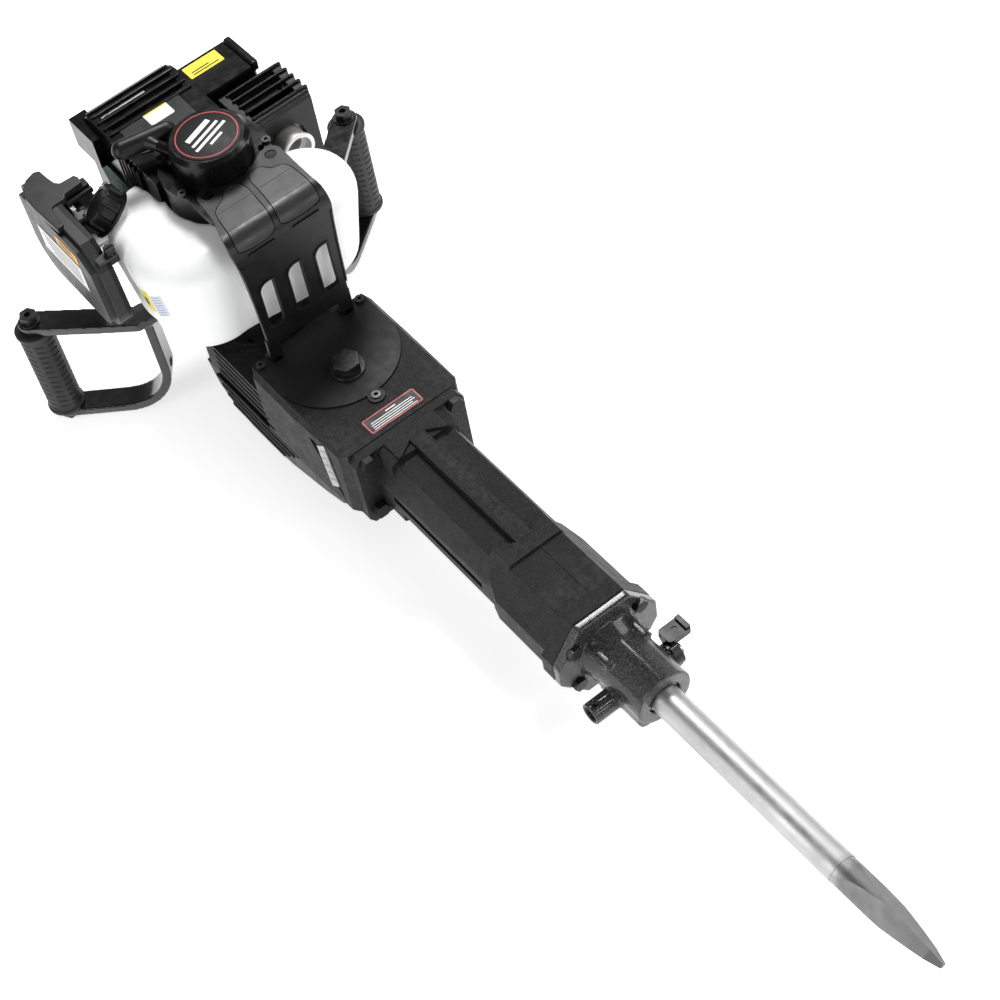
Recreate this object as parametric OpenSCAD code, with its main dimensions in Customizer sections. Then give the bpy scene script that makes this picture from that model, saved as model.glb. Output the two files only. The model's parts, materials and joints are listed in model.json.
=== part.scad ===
// Petrol-engine demolition hammer: engine on a two-stage gearbox, crank-driven percussion
// barrel, retained chisel and two D-shaped handles.
// Frame: origin on the hammer axis where the round shaft of the chisel ends, just in front of the
// socket mouth. Y runs back along the axis
// (the chisel points to -Y), X is the width, Z points to the recoil-starter side. Millimetres.

/* [Chisel] */
// Diameter of the round part of the chisel
chisel_d = 30; // [28:1:30]
// Length of chisel that stands out of the socket
chisel_reach = 332; // [240:4:420]
// Length of the four-sided point
point_len = 113; // [90:1:130]
// Hexagon shank, across flats
shank_af = 28; // [27:0.5:28]

/* [Barrel] */
// Width of the barrel castings across the sides
case_w = 92; // [90:1:96]
// Height of the barrel castings
case_h = 100; // [98:1:102]
// Bore of the cylinder liner
liner_bore = 56; // [54:1:58]

/* [Gearbox] */
// Width of the gearbox block
box_w = 149; // [147:1:154]
// Crank radius of the hammer mechanism
crank_throw = 14; // [12:1:14]
// Height of the gearbox top face above the hammer axis
box_top = 50; // [49:1:52]

/* [Engine] */
// Outer radius of the recoil starter rim
starter_r = 41; // [40:0.5:43]
// Width of the cylinder shroud
shroud_w = 105; // [102:1:108]
// Width of the slotted tank guard
guard_w = 102; // [98:1:106]

/* [Handles] */
// Distance of each grip axis from the centre plane
grip_x = 206; // [190:2:220]
// Outer radius of the rubber grips
grip_r = 19; // [18:0.5:20]
// Width of the handle bars
bar_w = 28; // [27:1:30]

/* [Hidden] */
$fn = 64;
run = 0.05;                       // radial running clearance
chisel_r = chisel_d / 2;
shank_end = 112;                  // back end of the shank
pin_y = 42;                       // retainer shaft axis
pin_z = -15;
pin_r = 6.5;
slide_out = 28;                   // forward travel of the retained chisel
bore_r = liner_bore / 2;
liner_r = bore_r + 6;
mouth_y = 3;                      // front face of the tool socket
joint_y = 90;                     // front cover meets barrel
case_end = 385;                   // barrel meets gearbox
crank_y = 500;                    // hammer crank axis
idler_y = 578;                    // idler shaft axis
eng_y = 648;                      // engine crankshaft axis
split_z = -38;                    // gearbox meets the louvred cover
deck_z = 8;                       // top of the rear gearbox deck
box_x = box_w / 2;
deck_x = 70;
deck_end = 668;
bolt_r = 5;                       // barrel and cover bolts
cover_bolt_r = 4;
pressure_angle = 25;
module_hammer = 3;                // crank gear and idler pinion
module_engine = 2.5;              // idler gear and drum pinion
n_crank = 39;
n_idler_pinion = 13;
n_idler = 42;
n_drum = 14;
eng_bot = 60;                     // underside of the crankcase
cyl_z = 120;                      // engine cylinder axis height
rope_r = 22;                      // rope line to starter axis
rope_z = 238;
rope_a = 109.3;                   // heading of the starter rope in the XY plane
flange_z = 215;
cap_pos = [-100.6, 690.7, 183.4];
cap_yaw = 138;
cap_tilt = 42;
exhaust_x = 92;
exhaust_z = 164;
filter_in = -137;                 // inner face of the filter base
filter_out = filter_in - 23;
inlet_y = 752;                    // carburettor and inlet port axis
outlet_y = 708;                   // exhaust port axis
choke_pos = [-114, inlet_y];
case_bolt_z = [-31, 41];
tab_y = [644, 656];               // clamp tab of the filter cover
tab_z = 184;
knob_pos = [-132.5, 650];
lower_a = 217.7;                  // direction of the lower handle arm, from the grip inwards
strap_d = 121;                    // distance from grip to upright strap
bend_r = 51;                      // inside radius of the bend between them
bar_t = 10;
arm_z = 42;                       // underside of the upper handle arms
low_z = -92;                      // underside of the lower handle arms
grip_y = 769;
ear_x = 92;
guard_y = 534;
slot_pitch = 33;

// ---------- shared helpers ----------

module zc(r, z0, z1, x = 0, y = 0) translate([x, y, z0]) cylinder(r = r, h = z1 - z0);
module yc(r, y0, y1, x = 0, z = 0) translate([x, y0, z]) rotate([-90, 0, 0]) cylinder(r = r, h = y1 - y0);
module xc(r, x0, x1, y = 0, z = 0) translate([x0, y, z]) rotate([0, 90, 0]) cylinder(r = r, h = x1 - x0);
module slab(x0, x1, y0, y1, z0, z1) translate([x0, y0, z0]) cube([x1 - x0, y1 - y0, z1 - z0]);

// rounded rectangle in a plane
module rsq(x0, x1, y0, y1, r) {
    translate([x0 + r, y0]) square([x1 - x0 - 2 * r, y1 - y0]);
    translate([x0, y0 + r]) square([x1 - x0, y1 - y0 - 2 * r]);
    for (x = [x0 + r, x1 - r], y = [y0 + r, y1 - r]) translate([x, y]) circle(r);
}
module rslab(x0, x1, y0, y1, z0, z1, r) translate([0, 0, z0]) linear_extrude(z1 - z0) rsq(x0, x1, y0, y1, r);
// section in (x, z) drawn along Y, and section in (y, z) drawn along X
module along_y(y0, y1) translate([0, y1, 0]) rotate([90, 0, 0]) linear_extrude(y1 - y0) children();
module along_x(x0, x1) translate([x0, 0, 0]) rotate([90, 0, 90]) linear_extrude(x1 - x0) children();
module both() { children(); mirror([1, 0, 0]) children(); }

// chamfered eight-sided section: half width, half height, half flat top, half flat side
module oct(w, h, tw, sh) polygon([[-tw, h], [tw, h], [w, sh], [w, -sh], [tw, -h], [-tw, -h], [-w, -sh], [-w, sh]]);

// hexagon-headed bolt along +Y, the head in front of y
module bolt_y(x, y, z, r, len, af, head) {
    yc(r, y, y + len, x, z);
    translate([x, y - head, z]) rotate([-90, 0, 0]) cylinder(d = af / cos(30), h = head, $fn = 6);
}
// socket-headed screw down -Z, the head above z
module screw_z(x, y, z, r, len, head_r, head) {
    zc(r, z - len, z, x, y);
    difference() {
        zc(head_r, z, z + head, x, y);
        translate([x, y, z + head * 0.4]) cylinder(r = head_r * 0.5, h = head, $fn = 6);
    }
}

// points along an arc, for rounded sections drawn as one outline
function arc(c, r, a0, a1, n = 6) = [for (i = [0 : n]) c + r * [cos(a0 + (a1 - a0) * i / n), sin(a0 + (a1 - a0) * i / n)]];
function heading(a, b) = atan2(b[1] - a[1], b[0] - a[0]);

// flat bar of width w along points in the XY plane, round at both ends and mitred at the corners
function side_points(pts, w, s) = [for (i = [1 : len(pts) - 2])
    let (h0 = heading(pts[i - 1], pts[i]), h1 = heading(pts[i], pts[i + 1]), m = (h0 + h1) / 2)
    pts[i] + s * w / 2 / cos((h1 - h0) / 2) * [-sin(m), cos(m)]];
module bar_path(pts, w, z0, z1) {
    last = len(pts) - 1;
    h0 = heading(pts[0], pts[1]);
    h1 = heading(pts[last - 1], pts[last]);
    back = side_points(pts, w, 1);
    translate([0, 0, z0]) linear_extrude(z1 - z0) polygon(concat(
        arc(pts[0], w / 2, h0 + 90, h0 + 270, 16), side_points(pts, w, -1),
        arc(pts[last], w / 2, h1 - 90, h1 + 90, 16), [for (i = [len(back) - 1 : -1 : 0]) back[i]]));
}

// spur gear with involute flanks and a little backlash; one tooth is centred on +X
function inv(a) = tan(a) * 180 / PI - a;
function flank(r, rb, half) = half - inv(acos(min(1, rb / r)));
module spur(n, m) {
    rp = n * m / 2;
    rb = rp * cos(pressure_angle);
    ra = rp + 0.85 * m;
    rr = rp - 1.15 * m;
    half = 90 / n - 0.06 / rp * 180 / PI + inv(pressure_angle);
    rs = [max(rb, rr), rp * 0.99, rp + 0.4 * m, ra];
    polygon([for (i = [0 : n - 1], s = [-1, 1], k = [0 : 4])
        let (j = s < 0 ? k - 1 : 3 - k, r = j < 0 ? rr : rs[j], t = flank(max(r, rb), rb, half))
        r * [cos(i * 360 / n + s * t), sin(i * 360 / n + s * t)]]);
}
module gear_z(n, m, y, z0, z1, turn) translate([0, y, z0]) rotate([0, 0, turn]) linear_extrude(z1 - z0) spur(n, m);

// ---------- tool and retainer ----------

module point_profile() {
    k = 8;
    polygon(concat(
        [for (i = [0 : k]) [-2.2 - 13.8 * pow(i / k, 0.72), i / k * (point_len + 6)]],
        [for (i = [k : -1 : 0]) [2.2 + 13.8 * pow(i / k, 0.72), i / k * (point_len + 6)]]));
}

module chisel() color([0.55, 0.55, 0.56]) {
    tip = -chisel_reach;
    intersection() {
        yc(chisel_r - 0.5, tip, tip + point_len + 1);
        for_both_faces(tip);
    }
    yc(chisel_r, tip + point_len, 0);
    yc(chisel_r - 0.2, -1, 3);
    difference() {
        translate([0, 2, 0]) rotate([-90, 0, 0]) cylinder(d = shank_af / cos(30), h = shank_end - 4, $fn = 6);
        slab(-20, 20, pin_y - pin_r - 2, pin_y + pin_r + slide_out + 2, -20, pin_z + pin_r + 0.6);
    }
    yc(shank_af / 2 - 1, shank_end - 2, shank_end);
}
module for_both_faces(tip) intersection_for(a = [45, -45]) rotate([0, a, 0])
    translate([0, tip, -30]) linear_extrude(60) point_profile();

module front_cover() color([0.07, 0.07, 0.07]) difference() {
    union() {
        yc(30, mouth_y, 62);
        along_y(mouth_y + 4, 62) rsq(-28, 28, -32, 10, 12);
        translate([0, 62, 0]) rotate([-90, 0, 0]) cylinder(r1 = 30, r2 = 35, h = 18);
        along_y(80, joint_y) oct(57, case_h / 2, 29, 12);
        for (x = [-1, 1], z = [-1, 1]) translate([x * 22, 0, z * 20]) slab(-4, 4, 50, 82, -6, 6);
        xc(11, -56, -20, pin_y, pin_z);
        xc(13, 20, 36, pin_y, pin_z);
    }
    yc(17.4, mouth_y - 1, 7);
    yc(23, 6, joint_y + 1);
    xc(pin_r + run, -61, 40, pin_y, pin_z);
    xc(8, -61, -39, pin_y, pin_z);
    zc(2.4, pin_z, 0, -49, pin_y);
    for (x = [-38, 38], z = [-26, 26]) {
        yc(cover_bolt_r, 70, joint_y + 1, x, z);
        yc(8.2, 60, 82, x, z);
    }
}

module tool_sleeve() color([0.45, 0.45, 0.46]) difference() {
    union() {
        yc(23, 7, 118);
        yc(27, joint_y, joint_y + 6);
    }
    translate([0, 6, 0]) rotate([-90, 0, 0]) cylinder(d = (shank_af + 4 * run) / cos(30), h = 113, $fn = 6);
    xc(pin_r + run, -30, 30, pin_y, pin_z);
}

module front_cover_bolts() color([0.12, 0.12, 0.12])
    for (x = [-38, 38], z = [-26, 26]) bolt_y(x, 82, z, cover_bolt_r, 26, 13, 6);

module retainer_shaft() color([0.35, 0.35, 0.36]) difference() {
    xc(pin_r, -38, 50, pin_y, pin_z);
    slab(-17, 17, pin_y - 8, pin_y + 8, pin_z - 8, pin_z - 0.6);
}

module retainer_lever() color([0.09, 0.09, 0.09]) difference() {
    union() {
        xc(12.5, 36.3, 46, pin_y, pin_z);
        for (a = [20, 150, 260]) translate([0, pin_y, pin_z]) rotate([a, 0, 0]) xc(4.2, 37, 45, 0, 11);
        // neck, thumb tab and its raised end
        along_x(40, 46) polygon([[pin_y + 2, pin_z + 4], [pin_y + 10, pin_z], [pin_y + 18, -5], [pin_y + 4, -5]]);
        translate([0, 0, -6]) linear_extrude(8) polygon([[40, pin_y + 3], [42, pin_y + 1], [64, pin_y + 1],
            [66, pin_y + 3], [66, pin_y + 17], [64, pin_y + 19], [42, pin_y + 19], [40, pin_y + 17]]);
        slab(60, 65, pin_y + 2, pin_y + 18, 1, 5.5);
    }
    xc(pin_r, 36, 50, pin_y, pin_z);
    zc(3, 1.2, 3, 53, pin_y + 10);
}

module anvil() color([0.5, 0.5, 0.5]) {
    yc(13.8, 113, 121);
    yc(20, 121, 165);
    yc(14.5, 165, 184);
}

// ---------- barrel ----------

module case_outer() {
    along_y(joint_y, joint_y + 16) oct(57, case_h / 2, 29, 12);
    along_y(joint_y + 16, 178) oct(52, case_h / 2 - 3, 30, 14);
    intersection() {
        along_y(160, 200) oct(52, case_h / 2 - 3, 30, 14);
        both() along_z_wedge();
    }
    difference() {
        along_y(178, 374) oct(case_w / 2, case_h / 2, 30, 14);
        // long recessed panels each side of the centre ridge, top and bottom
        for (s = [-1, 1], x = [-1, 1]) along_panel(s, x);
    }
    along_y(374, case_end) oct(66, 49, 60, 40);
    for (s = [-1, 1]) along_y(350, 374) translate([0, s * 34]) oct(40, 13, 34, 10);
}
module along_z_wedge() translate([0, 0, -60]) linear_extrude(120) polygon([[0, 160], [52, 160], [52, 178], [44, 198], [0, 198]]);
module along_panel(s, x) translate([0, 0, s * (case_h / 2 + 4)]) linear_extrude(24, center = true)
    polygon([[x * 9, 196], [x * 34, 206], [x * 34, 350], [x * 26, 350], [x * 9, 360]]);

module cylinder_case() color([0.1, 0.1, 0.1]) difference() {
    case_outer();
    yc(27, joint_y - 1, joint_y + 6);
    yc(23, joint_y, 119);
    yc(20 + run, 118, 184);
    yc(liner_r, 184, case_end + 1);
    for (x = [-38, 38], z = [-26, 26]) yc(cover_bolt_r, joint_y - 1, joint_y + 19, x, z);
    for (x = [-53, 53], z = case_bolt_z) {
        yc(bolt_r, 372, case_end + 1, x, z);
        yc(10, 340, 374, x, z);
    }
    // side grooves along the barrel
    for (x = [-1, 1]) translate([x * (case_w / 2), 0, 0]) slab(-2.5, 2.5, 210, 350, -4, 4);
}

module case_bolts() color([0.12, 0.12, 0.12])
    for (x = [-53, 53], z = case_bolt_z) bolt_y(x, 374, z, bolt_r, 34, 16, 8);

module cylinder_liner() color([0.6, 0.6, 0.6]) difference() {
    yc(liner_r, 184, 372);
    yc(15.6, 183, 191);
    yc(bore_r, 190, 373);
    for (a = [0 : 90 : 270]) rotate([0, a, 0]) zc(2, 20, 40, 0, 312);
}

module striker() color([0.5, 0.5, 0.52]) difference() {
    union() {
        yc(14, 205, 216);
        yc(bore_r - run, 215, 285);
    }
    for (y = [228, 268]) translate([0, y, 0]) rotate([-90, 0, 0]) difference() {
        cylinder(r = bore_r + 1, h = 3);
        translate([0, 0, -1]) cylinder(r = bore_r - 2, h = 5);
    }
}

module piston() color([0.66, 0.66, 0.66]) difference() {
    yc(bore_r - run, 325, 375);
    yc(bore_r - 6, 333, 376);
    zc(6, -40, 40, 0, 357);
    translate([0, 328, 0]) rotate([-90, 0, 0]) difference() {
        cylinder(r = bore_r + 1, h = 3);
        translate([0, 0, -1]) cylinder(r = bore_r - 2, h = 5);
    }
}

module wrist_pin() color([0.6, 0.6, 0.6]) difference() {
    zc(6, -26, 26, 0, 357);
    zc(3, -27, 27, 0, 357);
}

// ---------- hammer drive ----------

module hammer_rod() color([0.6, 0.6, 0.6]) {
    pin = crank_y - crank_throw;
    difference() {
        union() {
            zc(19, -9, 9, 0, pin);
            slab(-7, 7, pin - 66, pin - 14, -7, 7);
            zc(9, -8, 8, 0, pin - 66);
        }
        zc(10 + run, -10, 10, 0, pin);
        zc(6.2, -9, 9, 0, pin - 72);
        slab(-20, 20, pin - 90, pin - 72, -9, 9);
        for (z = [-8, 8]) slab(-3.5, 3.5, pin - 56, pin - 24, z - 3, z + 3);
    }
}

module crank_gear() color([0.4, 0.4, 0.42]) difference() {
    gear_z(n_crank, module_hammer, crank_y, -36, -21, 90);
    zc(14, -37, -20, 0, crank_y);
    for (a = [0 : 60 : 300]) translate([0, crank_y, 0]) rotate([0, 0, a + 30]) zc(8, -37, -20, 38, 0);
}

module hammer_crankshaft() color([0.5, 0.5, 0.5]) {
    zc(12.5, -73, -36, 0, crank_y);
    zc(14, -36, -21, 0, crank_y);
    zc(32, -21, -12, 0, crank_y);
    zc(14, -12, -9.4, 0, crank_y - crank_throw);
    zc(10, -9.4, 10.5, 0, crank_y - crank_throw);
    zc(13, 10.5, 13, 0, crank_y - crank_throw);
}

module idler_gear() color([0.42, 0.42, 0.44]) {
    gear_z(n_idler_pinion, module_hammer, idler_y, -36, -21, 270 + 180 / n_idler_pinion);
    difference() {
        gear_z(n_idler, module_engine, idler_y, -54, -40, 90);
        for (a = [0 : 60 : 300]) translate([0, idler_y, 0]) rotate([0, 0, a]) zc(8, -55, -39, 32, 0);
    }
    zc(8, -71, -54, 0, idler_y);
    zc(12, -40, -36, 0, idler_y);
    zc(8, -21, -8.5, 0, idler_y);
}

module clutch_drum() color([0.45, 0.45, 0.46]) {
    gear_z(n_drum, module_engine, eng_y, -54, -40, 270 + 180 / n_drum);
    zc(8, -71, -54, 0, eng_y);
    zc(8, -40, 12, 0, eng_y);
    difference() {
        zc(38, 12, 40, 0, eng_y);
        zc(35, 15.5, 41, 0, eng_y);
    }
}

module clutch_shoes() color([0.35, 0.3, 0.26]) for (s = [-1, 1]) difference() {
    zc(32, 18, 33, 0, eng_y);
    zc(10, 17, 34, 0, eng_y);
    slab(-40, 40, eng_y - 2 - (s > 0 ? 60 : 0), eng_y + 2 + (s < 0 ? 60 : 0), 17, 34);
}

function ring_bearings() = [
    // centre y, z0, z1, bore radius, outer radius
    [crank_y, -56, -42, 12.5, 17], [crank_y, -73, -60, 12.5, 17],
    [idler_y, -70, -60, 8, 14], [idler_y, -18, -8, 8, 16],
    [eng_y, -70, -60, 8, 14], [eng_y, -20, -10, 8, 16],
    [eng_y, 68, 80, 7.5, 16], [eng_y, 150, 162, 7.5, 16]];
module bearings() color([0.7, 0.7, 0.7]) for (b = ring_bearings()) difference() {
    zc(b[4], b[1], b[2], 0, b[0]);
    zc(b[3] + run, b[1] - 1, b[2] + 1, 0, b[0]);
}

// ---------- gearbox ----------

module gearbox_housing() color([0.1, 0.1, 0.1]) difference() {
    union() {
        // main block with chamfered front corners
        translate([0, 0, split_z]) linear_extrude(box_top - split_z) polygon([
            [-66, case_end], [66, case_end], [72, 394], [box_x, 470], [box_x, 540], [box_x - 7, 548],
            [-box_x + 7, 548], [-box_x, 540], [-box_x, 470], [-72, 394]]);
        // front lower part follows the barrel flange
        along_y(case_end, 402) oct(66, 49, 60, 40);
        // rear deck
        rslab(-deck_x, deck_x, 530, deck_end, split_z, deck_z, 10);
        // seats for the louvred cover screws
        for (x = [-62, 62], y = [420, 660]) zc(6, split_z, split_z + 10, x, y);
    }
    // top front edges chamfered
    both() along_y(380, 560) polygon([[box_x - 6, box_top + 1], [box_x + 1, box_top - 8], [box_x + 1, box_top + 1]]);
    yc(30, case_end - 1, 440);
    zc(44, -19, 60, 0, crank_y);
    slab(-26, 26, 386, 470, -19, 20);
    zc(63.5, split_z - 1, -18.5, 0, crank_y);
    zc(24.5, split_z - 1, -18.5, 0, idler_y);
    zc(16, -19, -8, 0, idler_y);
    zc(18, split_z - 1, -24, 0, eng_y);
    zc(16, -25, -10, 0, eng_y);
    zc(9, -11, deck_z + 1, 0, eng_y);
    // seat of the crank cover
    translate([0, 0, box_top - 4]) linear_extrude(6) cover_outline(0.15);
    for (p = cover_screws()) zc(3, box_top - 18, box_top, p[0], p[1]);
    for (x = [-53, 53], z = case_bolt_z) yc(bolt_r, case_end - 1, 408.5, x, z);
    for (x = [-62, 62], y = [420, 660]) zc(2.5, split_z - 1, split_z + 8, x, y);
    for (p = guard_feet()) zc(3, box_top - 4 - 12, box_top + 3, p[0], p[1]);
    for (a = [45 : 90 : 315]) translate([0, eng_y, 0]) rotate([0, 0, a]) zc(3, deck_z - 12, deck_z + 1, 54, 0);
    // louvre grooves on the flanks of the deck, nameplate recess, badge recesses
    both() for (i = [0 : 3]) slab(deck_x - 4, deck_x + 9, 552 - 8 * i, 640, -2 - 10 * i, 3 - 10 * i);
    rslab(-32, 32, 390, 411, box_top - 0.5, box_top + 1, 2);
    both() along_x(box_x - 3, box_x + 1) badge_outline();
}
function cover_screws() = [[-62, 541], [62, 541], [0, 427]];
function guard_feet() = [[-44, 543], [44, 543]];
module cover_outline(g) {
    difference() {
        union() {
            translate([0, crank_y]) circle(68 + g);
            translate([-69 - g, 510]) square([138 + 2 * g, 50]);
        }
        translate([-90, 548.01]) square([180, 40]);
    }
    translate([0, 427]) circle(9 + g);
}
module badge_outline() polygon([[412, 38], [446, 34], [418, -14], [404, -30]]);

module crank_cover() color([0.13, 0.13, 0.13]) difference() {
    union() {
        translate([0, 0, box_top - 4]) linear_extrude(4) cover_outline(0);
        intersection() {
            translate([0, 0, box_top - 4]) linear_extrude(6) cover_outline(0);
            slab(-80, 80, 400, 510, box_top - 4, box_top + 2);
        }
        zc(43.5, box_top - 8, box_top - 4, 0, crank_y);
    }
    zc(36, box_top - 9, box_top - 5, 0, crank_y + 0.01);
    zc(8, box_top - 9, box_top + 3, 0, 475);
    for (p = cover_screws()) {
        zc(3, box_top - 9, box_top + 3, p[0], p[1]);
        zc(5.2, box_top - 0.5, box_top + 3, p[0], p[1]);
    }
    for (p = guard_feet()) zc(3, box_top - 9, box_top + 3, p[0], p[1]);
}

module crank_cover_screws() color([0.2, 0.2, 0.2])
    for (p = cover_screws()) screw_z(p[0], p[1], box_top - 0.5, 3, 15, 5, 4);

module cover_plug() color([0.15, 0.15, 0.15]) {
    zc(8, box_top - 7, box_top + 4.5, 0, 475);
    translate([0, 475, box_top + 4.5]) cylinder(d = 26 / cos(30), h = 10, $fn = 6);
}

module plug_washer() color([0.12, 0.12, 0.12]) difference() {
    zc(18, box_top + 2, box_top + 4.5, 0, 475);
    zc(8, box_top + 1, box_top + 5, 0, 475);
}

module nameplate() color([0.08, 0.08, 0.08]) rslab(-32, 32, 390, 411, box_top - 0.5, box_top + 0.3, 2);

module side_badges() color([0.6, 0.6, 0.6]) both() along_x(box_x - 3, box_x - 1) badge_outline();

module belly(g) polygon([[402.5 + g, split_z], [418, -52 + g], [450, -64 + g], [520, -84 + g],
    [560, -90 + g], [600, -91 + g], [634, -84 + g], [656 - g, -66 + g], [deck_end - g, split_z]]);

module louvre_cover() color([0.1, 0.1, 0.1]) difference() {
    union() {
        difference() {
            along_x(-deck_x, deck_x) belly(0);
            difference() {
                along_x(-deck_x + 6, deck_x - 6) translate([0, 0.01]) belly(5);
                // bearing bosses rise from the floor
                zc(20, -95, split_z, 0, crank_y);
                zc(18, -95, -57, 0, idler_y);
                zc(18, -95, -57, 0, eng_y);
                for (x = [-62, 62], y = [420, 660]) zc(6, -95, split_z, x, y);
            }
        }
        // bulge round the clutch pinion at the back
        zc(24, -61, split_z, 0, eng_y);
    }
    zc(21, -56.5, split_z + 1, 0, eng_y);
    zc(17, -73, split_z + 1, 0, crank_y);
    zc(14, -71.5, -50, 0, idler_y);
    zc(14, -71.5, -50, 0, eng_y);
    // room for the teeth of the idler gear
    zc(57, -56, split_z + 1, 0, idler_y);
    for (x = [-62, 62], y = [420, 660]) {
        zc(2.5, -95, split_z + 1, x, y);
        zc(6, -120, split_z - 8, x, y);
    }
    both() for (i = [0 : 2]) slab(deck_x - 4, deck_x + 9, 500 + 12 * i, 646 - 6 * i, -47 - 10 * i, -42 - 10 * i);
}

module louvre_cover_screws() color([0.2, 0.2, 0.2]) for (x = [-62, 62], y = [420, 660]) {
    zc(2.5, split_z - 8, split_z + 7, x, y);
    zc(5, split_z - 12, split_z - 8, x, y);
}

// ---------- engine ----------

module clutch_housing() color([0.12, 0.12, 0.12]) difference() {
    union() {
        zc(47, deck_z, eng_bot, 0, eng_y);
        zc(60, deck_z, deck_z + 6, 0, eng_y);
        both() rslab(30, ear_x, 655, 712, 30, arm_z, 8);
    }
    zc(42, deck_z - 1, 52, 0, eng_y);
    zc(13, 50, eng_bot + 1, 0, eng_y);
    for (a = [45 : 90 : 315]) translate([0, eng_y, 0]) rotate([0, 0, a]) zc(3, 0, 30, 54, 0);
    both() for (p = arm_bolts()) zc(4, 20, 60, p[0], p[1]);
    for (a = [30 : 60 : 330]) translate([0, eng_y, 0]) rotate([0, 0, a]) zc(2.5, 48, eng_bot + 1, 33, 0);
}
function arm_bolts() = [[66, 686], [86, 688]];

module crankcase() color([0.55, 0.55, 0.56]) difference() {
    union() {
        zc(38, eng_bot, 166, 0, eng_y);
        slab(-27, 27, eng_y, 690, 92, 148);
    }
    zc(13, eng_bot - 1, 170, 0, eng_y);
    zc(16, 68, 80, 0, eng_y);
    zc(16, 150, 167, 0, eng_y);
    zc(30, 94, 146, 0, eng_y);
    yc(20, eng_y, 691, 0, cyl_z);
    for (a = [30 : 60 : 330]) translate([0, eng_y, 0]) rotate([0, 0, a]) zc(2.5, eng_bot - 1, eng_bot + 10, 33, 0);
}

module engine_crankshaft() color([0.5, 0.5, 0.5]) {
    zc(10, 17, 35, 0, eng_y);
    zc(7.5, 35, 98, 0, eng_y);
    zc(26, 98, 107, 0, eng_y);
    zc(6, 107, 133, 0, eng_y + 16);
    zc(26, 133, 142, 0, eng_y);
    zc(7.5, 142, 212, 0, eng_y);
}

module cylinder_block() color([0.6, 0.6, 0.61]) difference() {
    union() {
        yc(28, 690, 792, 0, cyl_z);
        for (i = [0 : 11]) slab(-38, 38, 699 + 7.6 * i, 701.4 + 7.6 * i, cyl_z - 36, cyl_z + 36);
        slab(-27, 27, 690, 696, 92, 148);
        slab(-59.5, 0, inlet_y - 14, inlet_y + 14, cyl_z - 12, cyl_z + 12);
        slab(0, 44, outlet_y - 12, outlet_y + 12, cyl_z - 12, cyl_z + 12);
    }
    yc(20, 689, 778, 0, cyl_z);
    yc(7, 770, 800, 0, cyl_z);
    xc(8, -60, -15, inlet_y, cyl_z);
    xc(9, 15, 45, outlet_y, cyl_z);
}

module flywheel() color([0.5, 0.5, 0.5]) difference() {
    union() {
        zc(44, 176, 182, 0, eng_y);
        zc(20, 182, 210, 0, eng_y);
        for (a = [0 : 30 : 330]) translate([0, eng_y, 0]) rotate([0, 0, a]) slab(19, 43, -1.2, 1.2, 181, 204);
    }
    zc(7.5, 175, 213, 0, eng_y);
}

module fan_ring() {
    zc(56, 168, flange_z, 0, eng_y);
}

module shroud_profile(g) {
    // side view of the shroud: square front, large radius at the top rear
    translate([696 + g, 74]) square([132 - 2 * g, 103]);
    translate([696 + g, 74]) square([98 - g, 141 - g]);
    translate([790, 177]) circle(38 - g);
}

module engine_shroud() color([0.06, 0.06, 0.06]) difference() {
    union() {
        along_x(-shroud_w / 2 - 6, shroud_w / 2 - 6) shroud_profile(0);
        fan_ring();
        slab(-shroud_w / 2 - 6, shroud_w / 2 - 6, 668, 700, 168, flange_z);
        // cowl behind the muffler guard
        rslab(40, 110, 738, 792, 150, 213, 6);
        slab(-70, -50, 776, 824, 170, 206);
    }
    slab(50, 106, 742, 788, 149, 209);
    along_x(-shroud_w / 2 - 3, shroud_w / 2 - 9) difference() {
        shroud_profile(3);
        translate([600, 0]) square([98, 400]);
    }
    slab(-shroud_w / 2 - 3, shroud_w / 2 - 9, 698, 822, 60, 90);
    zc(52, 160, flange_z + 1, 0, eng_y);
    zc(44, 160, 180, 0, eng_y);
    slab(-44, 44, 660, 720, 165, 205);
    slab(-30, 30, 680, 700, 60, 165);
    // cooling slots across the top and the back
    for (i = [0 : 4]) rslab(-50, 38, 764 + 12 * i, 770 + 12 * i, 180, 240, 2.9);
    for (i = [0 : 4]) slab(-50, 38, 815, 840, 96 + 14 * i, 103 + 14 * i);
    // ports for the inlet and exhaust
    slab(-57, -40, inlet_y - 17, inlet_y + 17, 90, 142);
    slab(-70, -56, inlet_y - 17, inlet_y + 17, 90, 142);
    slab(29, 60, 690, outlet_y + 17, 74, 142);
    yc(13, 810, 840, 0, cyl_z);
    for (p = starter_holes()) zc(2.5, flange_z - 14, flange_z + 1, p[0], p[1]);
}

module spark_plug() color([0.85, 0.85, 0.83]) {
    yc(7, 778, 792, 0, cyl_z);
    translate([0, 792, cyl_z]) rotate([-90, 0, 0]) cylinder(d = 20.8 / cos(30), h = 8, $fn = 6);
    yc(6, 800, 822, 0, cyl_z);
    yc(3, 822, 830, 0, cyl_z);
}

module plug_cap() color([0.05, 0.05, 0.05]) difference() {
    union() {
        yc(11, 803, 846, 0, cyl_z);
        translate([0, 838, cyl_z]) rotate([0, 90, 0]) cylinder(r = 8, h = 30);
        yc(12.5, 806, 809, 0, cyl_z);
    }
    yc(6, 802, 822, 0, cyl_z);
    yc(3, 821, 831, 0, cyl_z);
}

function starter_holes() = [[-50, 629], [50, 629], [-39, 685], [39, 685]];

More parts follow.
